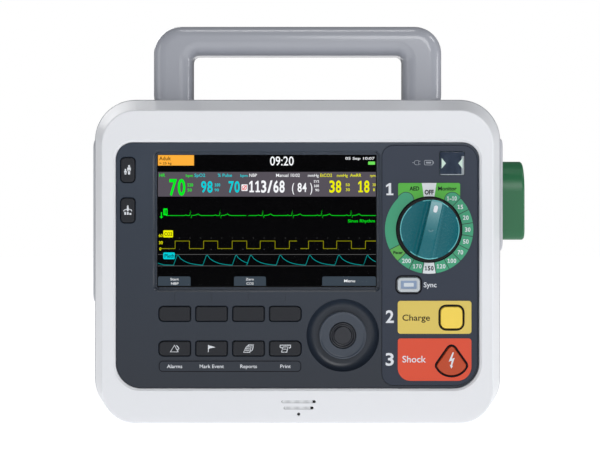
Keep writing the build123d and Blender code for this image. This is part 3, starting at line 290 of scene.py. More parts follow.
# ------------------------------------------------------------------------------------------------ panels
# The control panel is one slate moulding with an eggshell face, and the therapy panel is a second one laid on
# its right half. Names and numbers are printed on them in white, and a fine dark line painted round the key
# names stands in for the shade in the groove round their strip.


def slate_with_painted_shade(name, low_colour, high_colour, roughness, **surface):
    """Moulded slate with painted shade: a little darker towards its lower edge, from 180 mm high down to 30
    mm.
    """
    finish = Finish(name, **surface)
    height = finish.axes()[2]
    share = ((height - 30.0) / 150.0).clamped()
    fine = finish.noise(0.55, 3)
    cloud = finish.noise(34, 3)
    low_tone = finish.mix(cloud, toned(low_colour, 0.95), toned(low_colour, 1.05))
    high_tone = finish.mix(cloud, toned(high_colour, 0.95), toned(high_colour, 1.05))
    finish.set({"Base Color": finish.mix(share, low_tone, high_tone)})
    finish.set({"Roughness": cloud * 0.08 + fine * 0.06 + (roughness - 0.07)})
    finish.bump(fine, 0.012)
    return finish


# Painted shade: both slate panels are painted darker towards their lower edge.
slate_with_painted_shade("slate_panel", (35, 42, 53), (50, 60, 74), 0.32, Specular_IOR_Level=0.45).on("control_panel")
slate_with_painted_shade("therapy_slate", (47, 54, 68), (51, 59, 74), 0.42, Specular_IOR_Level=0.3).on("therapy_panel")
white_print = moulded("white_print", (226, 230, 236), roughness=0.5, grain=0.2, depth=0.004, mottle=0.05)
grey_print = moulded("grey_print", (150, 156, 166), roughness=0.5, grain=0.2, depth=0.004, mottle=0.05)
dark_print = moulded(
    "dark_print", (14, 14, 24), roughness=0.5, grain=0.2, depth=0.004, mottle=0.12, Specular_IOR_Level=0.15
)

# Thickness of the printed ink in millimetres, height of a capital for a type size of 1, and the weight of
# bold figures as a share of their height. Then the front faces of the panels and the printed plates.
ink = 0.04
capital = 0.69
bold = 0.03
panel_y = -83.0
therapy_y = -83.5
plate_y = -83.9


def face(x, y, z, turn=0):
    """Where drawings lie, in millimetres: x to the right, y up and z outwards for someone who looks at it."""
    stand = Matrix.Rotation(math.radians(turn), 4, "Z") @ Matrix.Rotation(math.radians(90), 4, "X")
    return Matrix.Translation(Vector((x, y, z)) * MM) @ stand @ Matrix.Scale(MM, 4)


def words(text, x, y, height, width=0, side="CENTER", weight=0.014, lift=0.0):
    """Lettering with capitals of that height, standing on y, and as wide as asked if a width is given.
    The weight thickens the letters by that share of their height."""
    bpy.ops.object.select_all(action="DESELECT")
    bpy.ops.object.text_add()
    line = bpy.context.object
    line.data.body = text
    line.data.size = height / capital
    line.data.offset = weight * height
    line.data.align_x = side
    line.data.extrude = ink / 2
    line.data.resolution_u = 3
    bpy.ops.object.convert(target="MESH")
    if width:
        across = [vertex.co.x for vertex in line.data.vertices]
        line.scale.x = width / (max(across) - min(across))
    line.location = (x, y, lift + ink / 2)
    bpy.ops.object.transform_apply()
    return line


def shape(points, lift=0.0, thick=ink):
    """A flat piece with that outline."""
    bpy.ops.object.select_all(action="DESELECT")
    bpy.ops.mesh.primitive_circle_add(vertices=len(points), radius=1, fill_type="NGON")
    flat = bpy.context.object
    for vertex, (x, y) in zip(flat.data.vertices, points):
        vertex.co = (x, y, lift)
    bpy.ops.object.mode_set(mode="EDIT")
    bpy.ops.mesh.select_all(action="SELECT")
    bpy.ops.mesh.extrude_region_move(TRANSFORM_OT_translate={"value": (0, 0, thick)})
    bpy.ops.mesh.select_all(action="SELECT")
    bpy.ops.mesh.normals_make_consistent(inside=False)
    bpy.ops.object.mode_set(mode="OBJECT")
    return flat


flagged_one = [
    (0.14, 0), (0.88, 0), (0.88, 0.14), (0.64, 0.14), (0.64, 1), (0.42, 1),
    (0.1, 0.82), (0.1, 0.66), (0.37, 0.78), (0.37, 0.14), (0.14, 0.14),
]


def figures(text, x0, x1, y, height, weight=bold, lift=0.0):
    """Figures of one width between x0 and x1. The 1 has a flag and a foot."""
    parts = []
    step = (x1 - x0) / len(text)
    for number, sign in enumerate(text):
        left = x0 + number * step
        if sign == "1":
            outline = [(left + right * step, y + up * height) for right, up in flagged_one]
            parts.append(shape(outline, lift))
        else:
            parts.append(words(sign, left + step / 2, y, height, 0.86 * step, "CENTER", weight, lift))
    return parts


def arc(x, y, radius, start, end, steps=6):
    """Points along an arc, in degrees from the right."""
    turns = [math.radians(start + (end - start) * step / steps) for step in range(steps + 1)]
    return [(x + radius * math.cos(turn), y + radius * math.sin(turn)) for turn in turns]


def rounded(x, y, width, height, radius, steps=5):
    """Points round a rectangle with round corners, from its middle."""
    points = []
    for start, right, up in ((0, 1, 1), (90, -1, 1), (180, -1, -1), (270, 1, -1)):
        corner_x = x + right * (width / 2 - radius)
        corner_y = y + up * (height / 2 - radius)
        points += arc(corner_x, corner_y, radius, start, start + 90, steps)
    return points


def ring(x, y, radius):
    """Points round a full circle."""
    return arc(x, y, radius, 0, 345, 23)


def disc(x, y, radius, **options):
    return shape(ring(x, y, radius), **options)


def stroke(points, width, closed=False, lift=0.0):
    """A printed line of that width along the points."""
    bpy.ops.object.select_all(action="DESELECT")
    bpy.ops.curve.primitive_nurbs_path_add()
    run = bpy.context.object
    run.data.splines.clear()
    spline = run.data.splines.new("POLY")
    spline.points.add(len(points) - 1)
    for point, (x, y) in zip(spline.points, points):
        point.co = (x, y, 0, 1)
    spline.use_cyclic_u = closed
    run.data.bevel_depth = width / 2
    run.data.bevel_resolution = 0
    run.data.use_fill_caps = True
    bpy.ops.object.convert(target="MESH")
    run.scale.z = ink / width
    run.location.z = lift + ink / 2
    bpy.ops.object.transform_apply()
    return run


def printed(name, parts, finish, where, body="root"):
    """Joins the parts into one piece, lays it on its face, and lets it ride on its body."""
    bpy.ops.object.select_all(action="DESELECT")
    for part in parts:
        part.select_set(True)
    bpy.context.view_layer.objects.active = parts[0]
    if len(parts) > 1:
        bpy.ops.object.join()
    piece = bpy.context.object
    piece.name = name
    piece.data.name = name
    piece.data.materials.clear()
    piece.data.materials.append(finish.material)
    piece.matrix_world = where
    bpy.ops.object.transform_apply()
    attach(piece, body)
    return piece


def middle(node):
    """Middle of a node's front face, in millimetres."""
    low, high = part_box(node)
    return (low.x + high.x) / 2 / MM, low.y / MM, (low.z + high.z) / 2 / MM


therapy_face = face(0, therapy_y, 0)
step_left, step_right, step_h = 53.6, 60.2, 8.4
step_numbers = []
for number, z in (("1", 167.5), ("2", 78.6), ("3", 48.8)):
    step_numbers += figures(number, step_left, step_right, z - step_h / 2, step_h)
printed("step_numbers", step_numbers, white_print, therapy_face)
sync_x, _, sync_z = middle("sync_button")
sync_name = words("Sync", sync_x + 10.3, sync_z - 1.7, 3.4, 9.0, "LEFT")
printed("sync_name", [sync_name], white_print, therapy_face)
sign_z = 186
plug_x = 75.4
plug = [
    stroke(arc(plug_x, sign_z, 1.5, 90, 270), 0.45),
    stroke([(plug_x, sign_z + 1.5), (77, sign_z + 1.5), (77, sign_z - 1.5), (plug_x, sign_z - 1.5)], 0.45),
    stroke([(77, sign_z + 1), (78.3, sign_z + 1)], 0.45),
    stroke([(77, sign_z - 1), (78.3, sign_z - 1)], 0.45),
    stroke([(plug_x - 1.5, sign_z), (72.6, sign_z)], 0.45),
]
cell_x = 83.9
cell = [
    stroke(rounded(cell_x, sign_z, 5.8, 3.2, 0.8), 0.5, closed=True),
    shape(rounded(cell_x, sign_z, 3.6, 1.2, 0.2)),
    shape(rounded(cell_x + 3.4, sign_z, 0.6, 1.6, 0.2)),
]
printed("power_signs", plug + cell, grey_print, therapy_face)

# ------------------------------------------------------------------------------------------------ keys
# Black silicone keys with a satin face stand in bevelled openings. Their signs are printed in white, and the
# lower row has its names on the raised strip below it.
key_names = {"alarm_key": "Alarms", "event_key": "Mark Event", "report_key": "Reports", "print_key": "Print"}
name_widths = {"alarm_key": 10.7, "event_key": 16.9, "report_key": 11.6, "print_key": 7.3}
silicone = moulded("key_silicone", (26, 29, 36), roughness=0.45, mottle=0.06, Specular_IOR_Level=0.35)
silicone.on(*key_names, "patient_key", "lead_key", *[f"soft_key_{number}" for number in range(1, 5)])
signs = {
    "alarm_key": [
        stroke([(-3.0, -2.3), (2.4, -2.3), (-0.1, 2.3)], 0.85, closed=True),
        stroke(arc(-0.6, -1.0, 3.6, 10, 62), 0.7),
        stroke([(1.2, -0.6), (3.0, -0.9)], 0.6),
    ],
    "event_key": [
        stroke([(-2.2, -2.5), (-2.2, 2.5)], 0.6),
        shape([(-2.2, 2.4), (2.9, 0.9), (-1.0, 0.2), (-2.2, -0.7)]),
    ],
    "report_key": [
        stroke([(-3.4, -2.6), (0.9, -2.6), (1.9, 1.1), (-1.6, 1.1)], 0.7, closed=True),
        stroke([(1.5, -1.8), (2.5, -1.4), (3.3, 1.9), (-0.3, 1.9)], 0.55),
        stroke([(-1.0, 1.5), (0.1, 2.7), (3.5, 2.7), (2.9, -0.6)], 0.55),
        stroke([(-2.0, -0.2), (1.0, -0.2)], 0.6),
        stroke([(-2.4, -1.4), (0.6, -1.4)], 0.6),
    ],
    "print_key": [
        stroke([(-3.6, 0.8), (-3.6, 2.4), (3.6, 2.4), (3.6, 0.8), (2.6, 0.3)], 0.85),
        stroke([(-3.6, 0.8), (-1.8, 0.5)], 0.7),
        stroke([(-1.5, 1.2), (1.9, 1.2), (1.0, -2.5), (-2.7, -2.5)], 0.75, closed=True),
        stroke([(-1.4, -0.4), (1.0, -0.4)], 0.55),
    ],
    "patient_key": [
        disc(0.9, 2.7, 0.75),
        shape(rounded(0.9, 0.5, 2.5, 2.6, 0.6)),
        shape(rounded(0.9, -1.7, 1.5, 3.0, 0.4)),
        disc(-1.6, 0.1, 0.6),
        shape(rounded(-1.6, -1.4, 1.9, 1.8, 0.5)),
        shape(rounded(-1.6, -2.5, 1.3, 1.4, 0.3)),
    ],
    "lead_key": [
        disc(0, 2.9, 0.6),
        shape(rounded(0, 0.9, 1.3, 3.0, 0.4)),
        stroke([(-2.9, -0.6), (-2.4, 0.3), (0, 1.0), (2.4, 0.3), (2.9, -0.6)], 0.7),
        shape(rounded(-1.8, -2.1, 1.3, 2.0, 0.2)),
        shape(rounded(0, -2.1, 1.2, 2.0, 0.2)),
        shape(rounded(1.8, -2.5, 1.3, 1.3, 0.2)),
    ],
}
for key, sign in signs.items():
    printed(f"{key}_sign", sign, white_print, face(*middle(key)), key)
strip_z = 43.9
strip_names = []
for key, name in key_names.items():
    strip_names.append(words(name, middle(key)[0], strip_z - 1.2, 2.4, name_widths[key], lift=0.3))
printed("key_names", strip_names, white_print, face(0, panel_y, 0))
strip_x = (middle("alarm_key")[0] + middle("print_key")[0]) / 2
# Painted shade: a fine dark line round the key names stands in for the shade in the groove round their strip.
groove_shade_line = [stroke(rounded(strip_x, strip_z, 98.8, 7.1, 2.4), 0.5, closed=True, lift=0.3)]
printed("key_name_groove_shade", groove_shade_line, dark_print, face(0, panel_y, 0))

# ------------------------------------------------------------------------------------------------ ring
# The turning ring and its press button are satin black, with a soft dish moulded in the panel round them.
moulded("ring_satin", (60, 68, 80), roughness=0.34, mottle=0.05, Specular_IOR_Level=0.45).on("nav_knob")
moulded("button_satin", (34, 37, 45), roughness=0.3, mottle=0.08, Specular_IOR_Level=0.5).on("nav_button")

# ------------------------------------------------------------------------------------------------ display
# A liquid-crystal panel in a black frame, behind hard-coated glass with a printed black edge on its back.
# The picture is a lit layer: a black ground with a grey numbers bar, three traces and three soft labels.
moulded("display_black", (12, 12, 14), roughness=0.6, grain=0.4, mottle=0.2, Specular_IOR_Level=0.1).on(
    "display_module"
)
glass = Finish("cover_glass", Roughness=0.06, Alpha=0.02, IOR=1.5, Specular_IOR_Level=0.15)
haze = glass.noise(60, 2)
glass.set({"Base Color": glass.mix(haze, shade(4, 4, 6), shade(10, 10, 13))})
glass.set({"Roughness": haze * 0.06 + 0.04})
glass.on("display_lens")
lens_low, lens_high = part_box("display_lens")
screen_left, screen_right, screen_low, screen_top = -105.1, 47.3, 100.0, 191.4
screen_w = screen_right - screen_left
screen_h = screen_top - screen_low
screen_y = -79.95
screen = face(screen_left, screen_y, screen_top)


def lit(name, colour, strength=1.1):
    """A glowing layer: a fine grid of dots dims the colour a little, as on a panel of separate dots."""
    finish = Finish(name, Roughness=0.5, Emission_Strength=strength, Specular_IOR_Level=0.0)
    dots = finish.noise(0.25, 1)
    finish.set({"Emission Color": finish.mix(dots, toned(colour, 0.9), toned(colour, 1.05))})
    finish.set({"Base Color": finish.mix(dots, (0.0, 0.0, 0.0, 1), (0.004, 0.004, 0.004, 1))})
    return finish


def screen_box(x0, y0, x1, y1, radius=0.0, lift=0.05):
    """A filled box on the screen, from its left and top edges."""
    if not radius:
        return shape([(x0, -y1), (x1, -y1), (x1, -y0), (x0, -y0)], lift)
    return shape(rounded((x0 + x1) / 2, -(y0 + y1) / 2, x1 - x0, y1 - y0, radius), lift)


def screen_text(text, x0, x1, y0, y1, weight=0.012, lift=0.15):
    """Lettering between the left and right edges x0 and x1, and between the heights y0 and y1."""
    return words(text, x0, -y1, y1 - y0, x1 - x0, "LEFT", weight, lift)


def screen_figures(text, x0, x1, y0, y1, weight=0.035):
    return figures(text, x0, x1, -y1, y1 - y0, weight, 0.15)


ground = screen_box(0, 0, screen_w, screen_h, lift=0.0)
printed("screen_ground", [ground], lit("screen_black", (2, 2, 3)), screen)
printed("numbers_bar", [screen_box(0, 11.8, screen_w, 29)], lit("screen_grey", (85, 80, 88)), screen)
printed("patient_tag", [screen_box(0, 0, 25.2, 7.3)], lit("screen_orange", (255, 175, 60)), screen)
label_ends = ((0, 22.8), (53.2, 75.5), (114.9, 152.4))
soft_labels = [screen_box(x0, 84.9, x1, screen_h + 1.2, 1.2) for x0, x1 in label_ends]
printed("soft_labels", soft_labels, lit("screen_slate", (58, 68, 78)), screen)

# One beat is a small rise, a tall spike and a slow hump, given right of its place and up from the line.
heart_beats = [22.7, 43.4, 73.4, 94.0, 114.6, 135.2]
beat = [
    (-4.2, 0), (-3.2, 0.45), (-2.3, 0), (-0.5, 0), (0, 3.6), (0.5, -1.8), (0.9, 0.1), (2.8, 0.15),
    (4.3, 0.55), (5.4, 1.2), (6.5, 0.3), (7.6, 0),
]
heart_line = 42.3
breath_low, breath_high = -65.4, -60.1


def heart_trace(start, end, beats):
    points = [(start, -heart_line)]
    for x in beats:
        points += [(x + right, up - heart_line) for right, up in beat]
    return points + [(end, -heart_line)]


def breath_trace(steps):
    """Square wave: steps are the x of each change, from the low line to the high one and back."""
    points = []
    level = breath_low
    for number, x in enumerate(steps):
        points.append((x, level))
        if 0 < number < len(steps) - 1:
            level = breath_high if level == breath_low else breath_low
            points.append((x, level))
    return points


def pulse_trace(points, beats, end):
    """A quick rise and a slow fall for each beat."""
    for number, x in enumerate(beats):
        points += [(x - 2.7, -77.0), (x - 0.3, -70.3), (x + 0.4, -69.9)]
        stop = min(end - x, 17.6)
        for step in range(1, 9):
            along = stop * step / 8
            points.append((x + along, -77.3 + 7.2 * math.exp(-along / 5.8)))
    return points


green_parts = [
    stroke(heart_trace(5.5, 61.8, heart_beats[:2]), 0.36, lift=0.1),
    stroke(heart_trace(63.2, screen_w, heart_beats[2:]), 0.36, lift=0.1),
    shape([(1.2, -43.0), (2.4, -44.4), (3.6, -43.0)], 0.15),
    stroke([(2.4, -40.0), (2.4, -43.2)], 0.7, lift=0.15),
    screen_box(3.7, 37.3, 6.7, 42.1, 0.6),
    screen_text("HR", 0.8, 4.8, 13.0, 15.2),
    screen_text("bpm", 19.4, 24.3, 13.4, 15.2),
    *screen_figures("70", 7.2, 19.6, 17.0, 28.0),
    *screen_figures("120", 20.5, 24.6, 19.8, 21.9),
    screen_text("50", 20.5, 23.5, 23.4, 25.4),
    screen_text("Sinus Rhythm", 132.8, 151.6, 45.0, 47.0),
]
printed("screen_green", green_parts, lit("lit_green", (0, 235, 30)), screen)
cyan_parts = [
    screen_text("SpO2", 25.4, 32.9, 13.0, 15.2),
    screen_text("% Pulse", 41.8, 51.7, 13.0, 15.2),
    screen_text("bpm", 57.5, 62.6, 13.4, 15.2),
    *screen_figures("98", 29.9, 38.5, 18.4, 26.0),
    *screen_figures("70", 48.9, 57.5, 18.4, 26.0),
    *screen_figures("100", 39.5, 43.6, 19.8, 21.9),
    screen_text("90", 39.5, 42.5, 23.4, 25.4),
    screen_box(3.7, 68.1, 11.8, 72.8, 0.8, lift=0.2),
]
printed("screen_cyan", cyan_parts, lit("lit_cyan", (0, 205, 215)), screen)
teal_parts = [
    stroke(pulse_trace([(0, -75.6), (4, -76.8)], [13.6, 34.1, 54.6], 63.0), 0.4, lift=0.1),
    stroke(pulse_trace([], [64.8, 85.4, 106.0, 126.4, 146.5], screen_w), 0.4, lift=0.1),
]
printed("pulse_line", teal_parts, lit("lit_teal", (0, 150, 150)), screen)
yellow_parts = [
    screen_text("EtCO2", 113.3, 121.6, 13.0, 15.2),
    screen_text("mmHg", 125.0, 132.6, 13.2, 15.2),
    screen_text("AwRR", 134.4, 142.2, 13.0, 15.2),
    screen_text("rpm", 148.2, 152.0, 13.4, 15.2),
    *screen_figures("38", 119.6, 128.5, 18.0, 26.0),
    *screen_figures("18", 139.6, 148.2, 18.0, 26.0),
    screen_text("50", 131.2, 134.0, 19.8, 21.7),
    screen_text("30", 131.2, 134.0, 23.2, 25.2),
    screen_text("30", 149.9, 152.2, 19.8, 21.7),
    screen_text("8", 150.4, 151.6, 23.2, 25.2),
    screen_box(3.7, 52.6, 10.5, 57.6, 0.6),
    screen_text("60", 0.5, 3.2, 55.2, 57.3),
    screen_text("30", 0.5, 3.2, 60.2, 62.3),
    screen_text("0", 0.9, 2.2, 64.6, 66.6),
]
printed("screen_yellow", yellow_parts, lit("lit_yellow", (235, 235, 0)), screen)
olive_parts = [
    stroke(breath_trace([2.2, 12, 22, 31.9, 41.8, 51.9, 62.1, 71.5, 81.9, 91.9, 97.2]), 0.42, lift=0.1),
    stroke(breath_trace([99.6, 105.3, 115.7, 125, 135.3, 145.1, screen_w]), 0.42, lift=0.1),
]
printed("breath_line", olive_parts, lit("lit_olive", (160, 160, 0)), screen)
white_parts = [
    screen_text("09:20", 78.2, 94.8, 1.0, 7.2),
    screen_text("05 Sep 10:07", 131.0, 151.4, 1.4, 3.2),
    screen_text("NBP", 63.7, 69.0, 13.0, 15.2),
    screen_text("Manual 10:02", 82.4, 99.0, 13.0, 15.2),
    screen_text("mmHg", 104.7, 112.3, 13.2, 15.2),
    *screen_figures("113/68", 63.4, 88.9, 18.0, 26.0),
    screen_text("(", 93.4, 95.0, 19.6, 25.6),
    *screen_figures("84", 97.4, 104.2, 19.6, 25.6),
    screen_text(")", 106.4, 108.0, 19.6, 25.6),
    screen_text("SYS", 108.9, 112.6, 17.6, 19.2),
    *screen_figures("160", 109.0, 112.6, 20.6, 22.4),
    screen_text("90", 109.9, 112.6, 23.6, 25.4),
    screen_text("Start", 8.6, 14.4, 86.0, 87.6),
    screen_text("NBP", 9.0, 14.2, 89.0, 90.6),
    screen_text("Zero", 61.4, 67.0, 86.0, 87.6),
    screen_text("CO2", 61.8, 66.8, 89.0, 90.6),
    screen_text("Menu", 130.0, 137.6, 87.0, 88.9),
    screen_box(58.4, 20.5, 62.7, 25.1, 0.5, lift=0.15),
]
printed("screen_white", white_parts, lit("lit_white", (245, 247, 250)), screen)
printed("screen_cell", [screen_box(147.0, 4.5, 151.8, 6.7, 0.3)], lit("lit_lime", (110, 225, 90)), screen)
alarm_off = [
    stroke(ring(60.5, -22.8, 1.5), 0.4, closed=True, lift=0.25),
    stroke([(58.9, -24.5), (62.2, -21.1)], 0.45, lift=0.25),
    stroke([(59.9, -23.6), (60.5, -21.9), (61.2, -23.6)], 0.4, closed=True, lift=0.25),
]
printed("alarm_off_sign", alarm_off, lit("lit_red", (225, 40, 40)), screen)
ruled = [stroke([(0, y), (screen_w, y)], 0.3, lift=0.06) for y in (-69.5, -77.5)]
for column in range(1, 21):
    x = column * 7.4
    for y in (-58.0, -65.9):
        ruled.append(stroke([(x, y), (x + 0.5, y)], 0.3, lift=0.06))
printed("ruled_lines", ruled, lit("lit_grey", (92, 92, 92)), screen)
dark_parts = [
    screen_text("Adult", 0.9, 9.0, 1.0, 3.6),
    screen_text("> 25 kg", 0.9, 9.4, 4.9, 6.5),
    screen_text("II", 4.5, 5.9, 38.4, 41.0),
    screen_text("CO2", 4.4, 9.8, 54.0, 56.4),
    screen_text("Pleth", 4.4, 11.2, 69.2, 71.8, lift=0.3),
]
printed("screen_dark", dark_parts, lit("screen_ink", (8, 8, 8)), screen)

margin = 0.3
edge_left, edge_right = lens_low.x / MM + margin, lens_high.x / MM - margin
edge_low, edge_top = lens_low.z / MM + margin, lens_high.z / MM - margin
edges = (
    (edge_left, screen_left, edge_low, edge_top),
    (screen_right, edge_right, edge_low, edge_top),
    (screen_left, screen_right, edge_low, screen_low),
    (screen_left, screen_right, screen_top, edge_top),
)
lens_edge = [shape([(x0, z0), (x1, z0), (x1, z1), (x0, z1)]) for x0, x1, z0, z1 in edges]
border_black = moulded(
    "border_black", (5, 5, 6), roughness=0.4, grain=0.2, depth=0.003, Specular_IOR_Level=0.1
)
printed("lens_border", lens_edge, border_black, face(0, lens_high.y / MM + 0.06, 0))

# ------------------------------------------------------------------------------------------------ speaker
# Two slots in the lower edge of the casing let the sound out. A pale woven cloth is glued behind them and
# ends short of their right ends, where the open slot shows dark.
cloth = Finish("speaker_cloth", Roughness=0.8)
side_threads = cloth.axes()[0].maths("SINE") * 0.5 + 0.5
weave = cloth.noise(0.6, 2) * 0.5 + side_threads * 0.5
cloth.set({"Base Color": cloth.mix(weave, shade(196, 198, 202), shade(236, 238, 240))})
cloth.bump(weave, 0.03)
cloth_x = casing_x / MM - 0.1
slot_parts = []
for z, width in ((19.3, 24.0), (14.9, 20.8)):
    slot_parts.append(shape(rounded(cloth_x, z, width - 2.4, 1.9, 0.9), lift=-0.9, thick=0.3))
printed("slot_cloth", slot_parts, cloth, face(0, bezel_low.y / MM, 0))

# ------------------------------------------------------------------------------------------------ dial
# A printed polycarbonate plate behind the energy knob: a light green crown, a teal track in steps with the
# energies in joules, one white step, and a white wedge for OFF. Fine dark lines part the steps. Turns are in
# degrees clockwise from the top, and the steps' middles lie 18 apart from 36 on.
first_turn, step_turn = 36.0, 18.0
half_turn = step_turn / 2
white_turn = first_turn + 8 * step_turn
pacer_turn = first_turn + 11 * step_turn
knob_x, _, knob_z = middle("therapy_knob")
dial = Finish("dial_print", Coat_Weight=0.3, Coat_Roughness=0.2, Specular_IOR_Level=0.35)
east, _, north = dial.axes((knob_x * MM, 0, knob_z * MM))
reach = distance(east, north)
clock = east.maths("ARCTAN2", north) * (180 / math.pi)
around = clock.maths("WRAP", 360.0, 0.0)
track_r, track_half, track_start = 26.2, 5.2, 38.0
cap_x = track_r * math.sin(math.radians(track_start))
cap_z = track_r * math.cos(math.radians(track_start))
cap_reach = ((abs(east) - cap_x) ** 2.0 + (north - cap_z) ** 2.0) ** 0.5
swept = abs(clock) > track_start


def track(half):
    return ((abs(reach - track_r) < half) * swept) | (cap_reach < half)


step_edge = abs((around - first_turn).maths("WRAP", step_turn, 0.0) - half_turn) * reach * (math.pi / 180)
steps = (around > first_turn + 8.0) * (around < pacer_turn + 10.5)
lines = (step_edge < 0.28) * steps
wedge = (abs(east) < (north - 22.4) * 0.145 + 3.65) * (north > 0.0)
speck = dial.noise(0.5, 2)
cloud = dial.noise(18, 2)


def ink_colour(colour):
    return dial.mix(cloud, toned(colour, 0.93), toned(colour, 1.06))


tone = ink_colour((84, 184, 62))
tone = dial.mix(track(track_half + 0.5), tone, ink_colour((44, 76, 60)))
tone = dial.mix(track(track_half), tone, ink_colour((62, 163, 122)))
tone = dial.mix((abs(around - pacer_turn) < half_turn) * track(track_half), tone, ink_colour((92, 176, 78)))
tone = dial.mix((abs(around - white_turn) < half_turn) * (reach > 20.0), tone, ink_colour((226, 230, 233)))
tone = dial.mix(lines * track(track_half), tone, ink_colour((36, 72, 60)))
tone = dial.mix(wedge, tone, ink_colour((226, 230, 233)))
dial.set({"Base Color": tone, "Roughness": speck * 0.1 + 0.32})
dial.bump(speck, 0.004)
dial.on("dial_scale")

dial_face = face(knob_x, plate_y, knob_z)
number_r = 26.9
energies = ["1-10", "15", "20", "30", "50", "70", "100", "120", "150", "170", "200"]
energy_words = []
for number, energy in enumerate(energies):
    if energy == "150":
        continue
    turn = math.radians(first_turn + number * step_turn)
    x = number_r * math.sin(turn)
    z = number_r * math.cos(turn)
    half = {2: 2.1, 3: 3.2, 4: 3.5}[len(energy)]
    energy_words += figures(energy, x - half, x + half, z - 1.45, 2.9)
printed("energies", energy_words, white_print, dial_face)
# The crown's words and the energy on the white step are in dark ink.
crown_words = [
    words("AED", -10.2, 27.3, 2.7, 6.8, weight=0.045),
    words("Monitor", 12.6, 27.3, 2.7, 13.0, weight=0.035),
    words("OFF", 0, 24.6, 3.0, 6.4, weight=0.06),
    *figures("150", -3.3, 3.3, -number_r - 1.5, 2.9, weight=0.06),
    words("Pacer", number_r * math.sin(math.radians(pacer_turn)), -17.0, 2.1, 6.6, weight=0.04),
]
printed("dial_words", crown_words, dark_print, dial_face)

# ------------------------------------------------------------------------------------------------ knob
# The energy knob is a glossy blue-green moulding on a steel shaft, in a gloss black ring. Its finger blade
# has a white mark let in at the pointing end.
pointer = math.radians(13)
blade_y, rim_highlight_y, mark_y = -99.0, -89.8, -101.7
teal = Finish("knob_teal", Specular_IOR_Level=0.35)
east, deep, north = teal.axes((knob_x * MM, 0, knob_z * MM))
reach = distance(east, north)
along = east * math.sin(pointer) + north * math.cos(pointer)
# Painted highlight: the blade is painted lighter towards its pointing end.
blade_highlight = ((along + 8.0) / 27.0).maths("MAXIMUM", 0.0) ** 1.4 * 0.55
cloud = teal.noise(12, 2)
tone = teal.mix(cloud, toned((4, 104, 115), 0.94), toned((4, 104, 115), 1.06))
tone = teal.mix((deep < blade_y) * blade_highlight, tone, shade(150, 205, 210))
# Painted highlight: a thin pale line is painted round the front edge of the rim.
tone = teal.mix((reach > 20.0) * (deep < rim_highlight_y), tone, shade(110, 200, 205))
grain = teal.noise(0.5, 2)
teal.set({"Base Color": tone, "Roughness": grain * 0.06 + 0.24})
teal.bump(grain, 0.004)
teal.on("therapy_knob")
seal_look = {"roughness": 0.35, "grain": 0.3, "mottle": 0.2, "Specular_IOR_Level": 0.3}
moulded("ring_black", (10, 10, 12), **seal_look).on("knob_seal")
mark_r = 14.5
mark_place = face(knob_x + mark_r * math.sin(pointer), mark_y, knob_z + mark_r * math.cos(pointer))
lean = Matrix.Rotation(-pointer, 4, "Z") @ Matrix.Rotation(math.radians(-6.4), 4, "X")
mark = shape(rounded(0, 0, 2.7, 5.0, 1.3), lift=-0.3, thick=0.36)
printed("pointer_mark", [mark], white_print, mark_place @ lean, "therapy_knob")

# ------------------------------------------------------------------------------------------------ buttons
# Sync, charge and shock are silicone buttons in three colours. Charge and shock stand on yellow and red
# printed plates with a black line round each button, and a white bolt is printed on the shock button.
moulded("charge_print", (226, 200, 92), roughness=0.36, mottle=0.03, Coat_Weight=0.2).on("charge_plate")
moulded("shock_print", (224, 70, 30), roughness=0.36, mottle=0.03, Coat_Weight=0.2).on("shock_plate")
moulded("charge_yellow", (253, 219, 84), roughness=0.4, mottle=0.03).on("charge_button")
moulded("shock_red", (192, 66, 16), roughness=0.4, mottle=0.05).on("shock_button")
moulded("sync_grey", (196, 203, 208), roughness=0.42, mottle=0.03).on("sync_button")
lamp_blue = moulded("lamp_blue", (140, 160, 190), roughness=0.35, grain=0.3, mottle=0.06)
lamp_clear = moulded("lamp_clear", (214, 222, 228), roughness=0.3, grain=0.3, mottle=0.05)
sync_floor_y = -84.2
sync_floor = face(sync_x, sync_floor_y, sync_z)
printed("sync_lamp_frame", [shape(rounded(0, 0, 11.0, 5.6, 0.6))], lamp_blue, sync_floor, "sync_button")
printed("sync_lamp", [shape(rounded(0, 0, 6.9, 2.6, 0.4), ink)], lamp_clear, sync_floor, "sync_button")
charge_x, _, charge_z = middle("charge_button")
shock_x, shock_y, _ = middle("shock_button")
foot = 4.0
shock_line = (
    arc(0, 51.2 + foot, 3.5, 35, 145)
    + arc(-7.6, 40.4 + foot, 3.5, 145, 212)
    + arc(0, 45.15 + foot, 12.45, 212, 328, 12)
    + arc(7.6, 40.4 + foot, 3.5, -32, 35)
)
sync_line = rounded(sync_x, sync_z, 17.8, 12.3, 3.9)
charge_line = rounded(charge_x, charge_z, 17.2, 17.2, 4.9)
outlines = [
    stroke(charge_line, 1.1, closed=True),
    stroke([(shock_x + x, z) for x, z in shock_line], 1.1, closed=True),
]
plate_face = face(0, plate_y, 0)
printed("button_lines", outlines, dark_print, plate_face)
printed("dial_line", [stroke(arc(0, 0, 22.8, 0, 354, 59), 0.9, closed=True)], dark_print, dial_face)
printed("sync_line", [stroke(sync_line, 1.0, closed=True)], dark_print, therapy_face)
charge_word = words("Charge", 75.2, charge_z - 2.1, 4.2, 19.2, weight=0.012)
printed("charge_word", [charge_word], dark_print, plate_face)
printed("shock_word", [words("Shock", 73.6, 46.7, 4.5, 16.4)], white_print, plate_face)
bolt = [
    (0.7, 5.6), (-2.0, -0.9), (0.1, -0.3), (-0.6, -3.4), (-1.3, -3.1), (-0.2, -5.8),
    (0.9, -3.9), (0.3, -3.7), (2.1, 1.7), (0.2, 1.0), (1.6, 5.4),
]
printed("bolt", [shape(bolt)], white_print, face(shock_x, shock_y, 48.2), "shock_button")

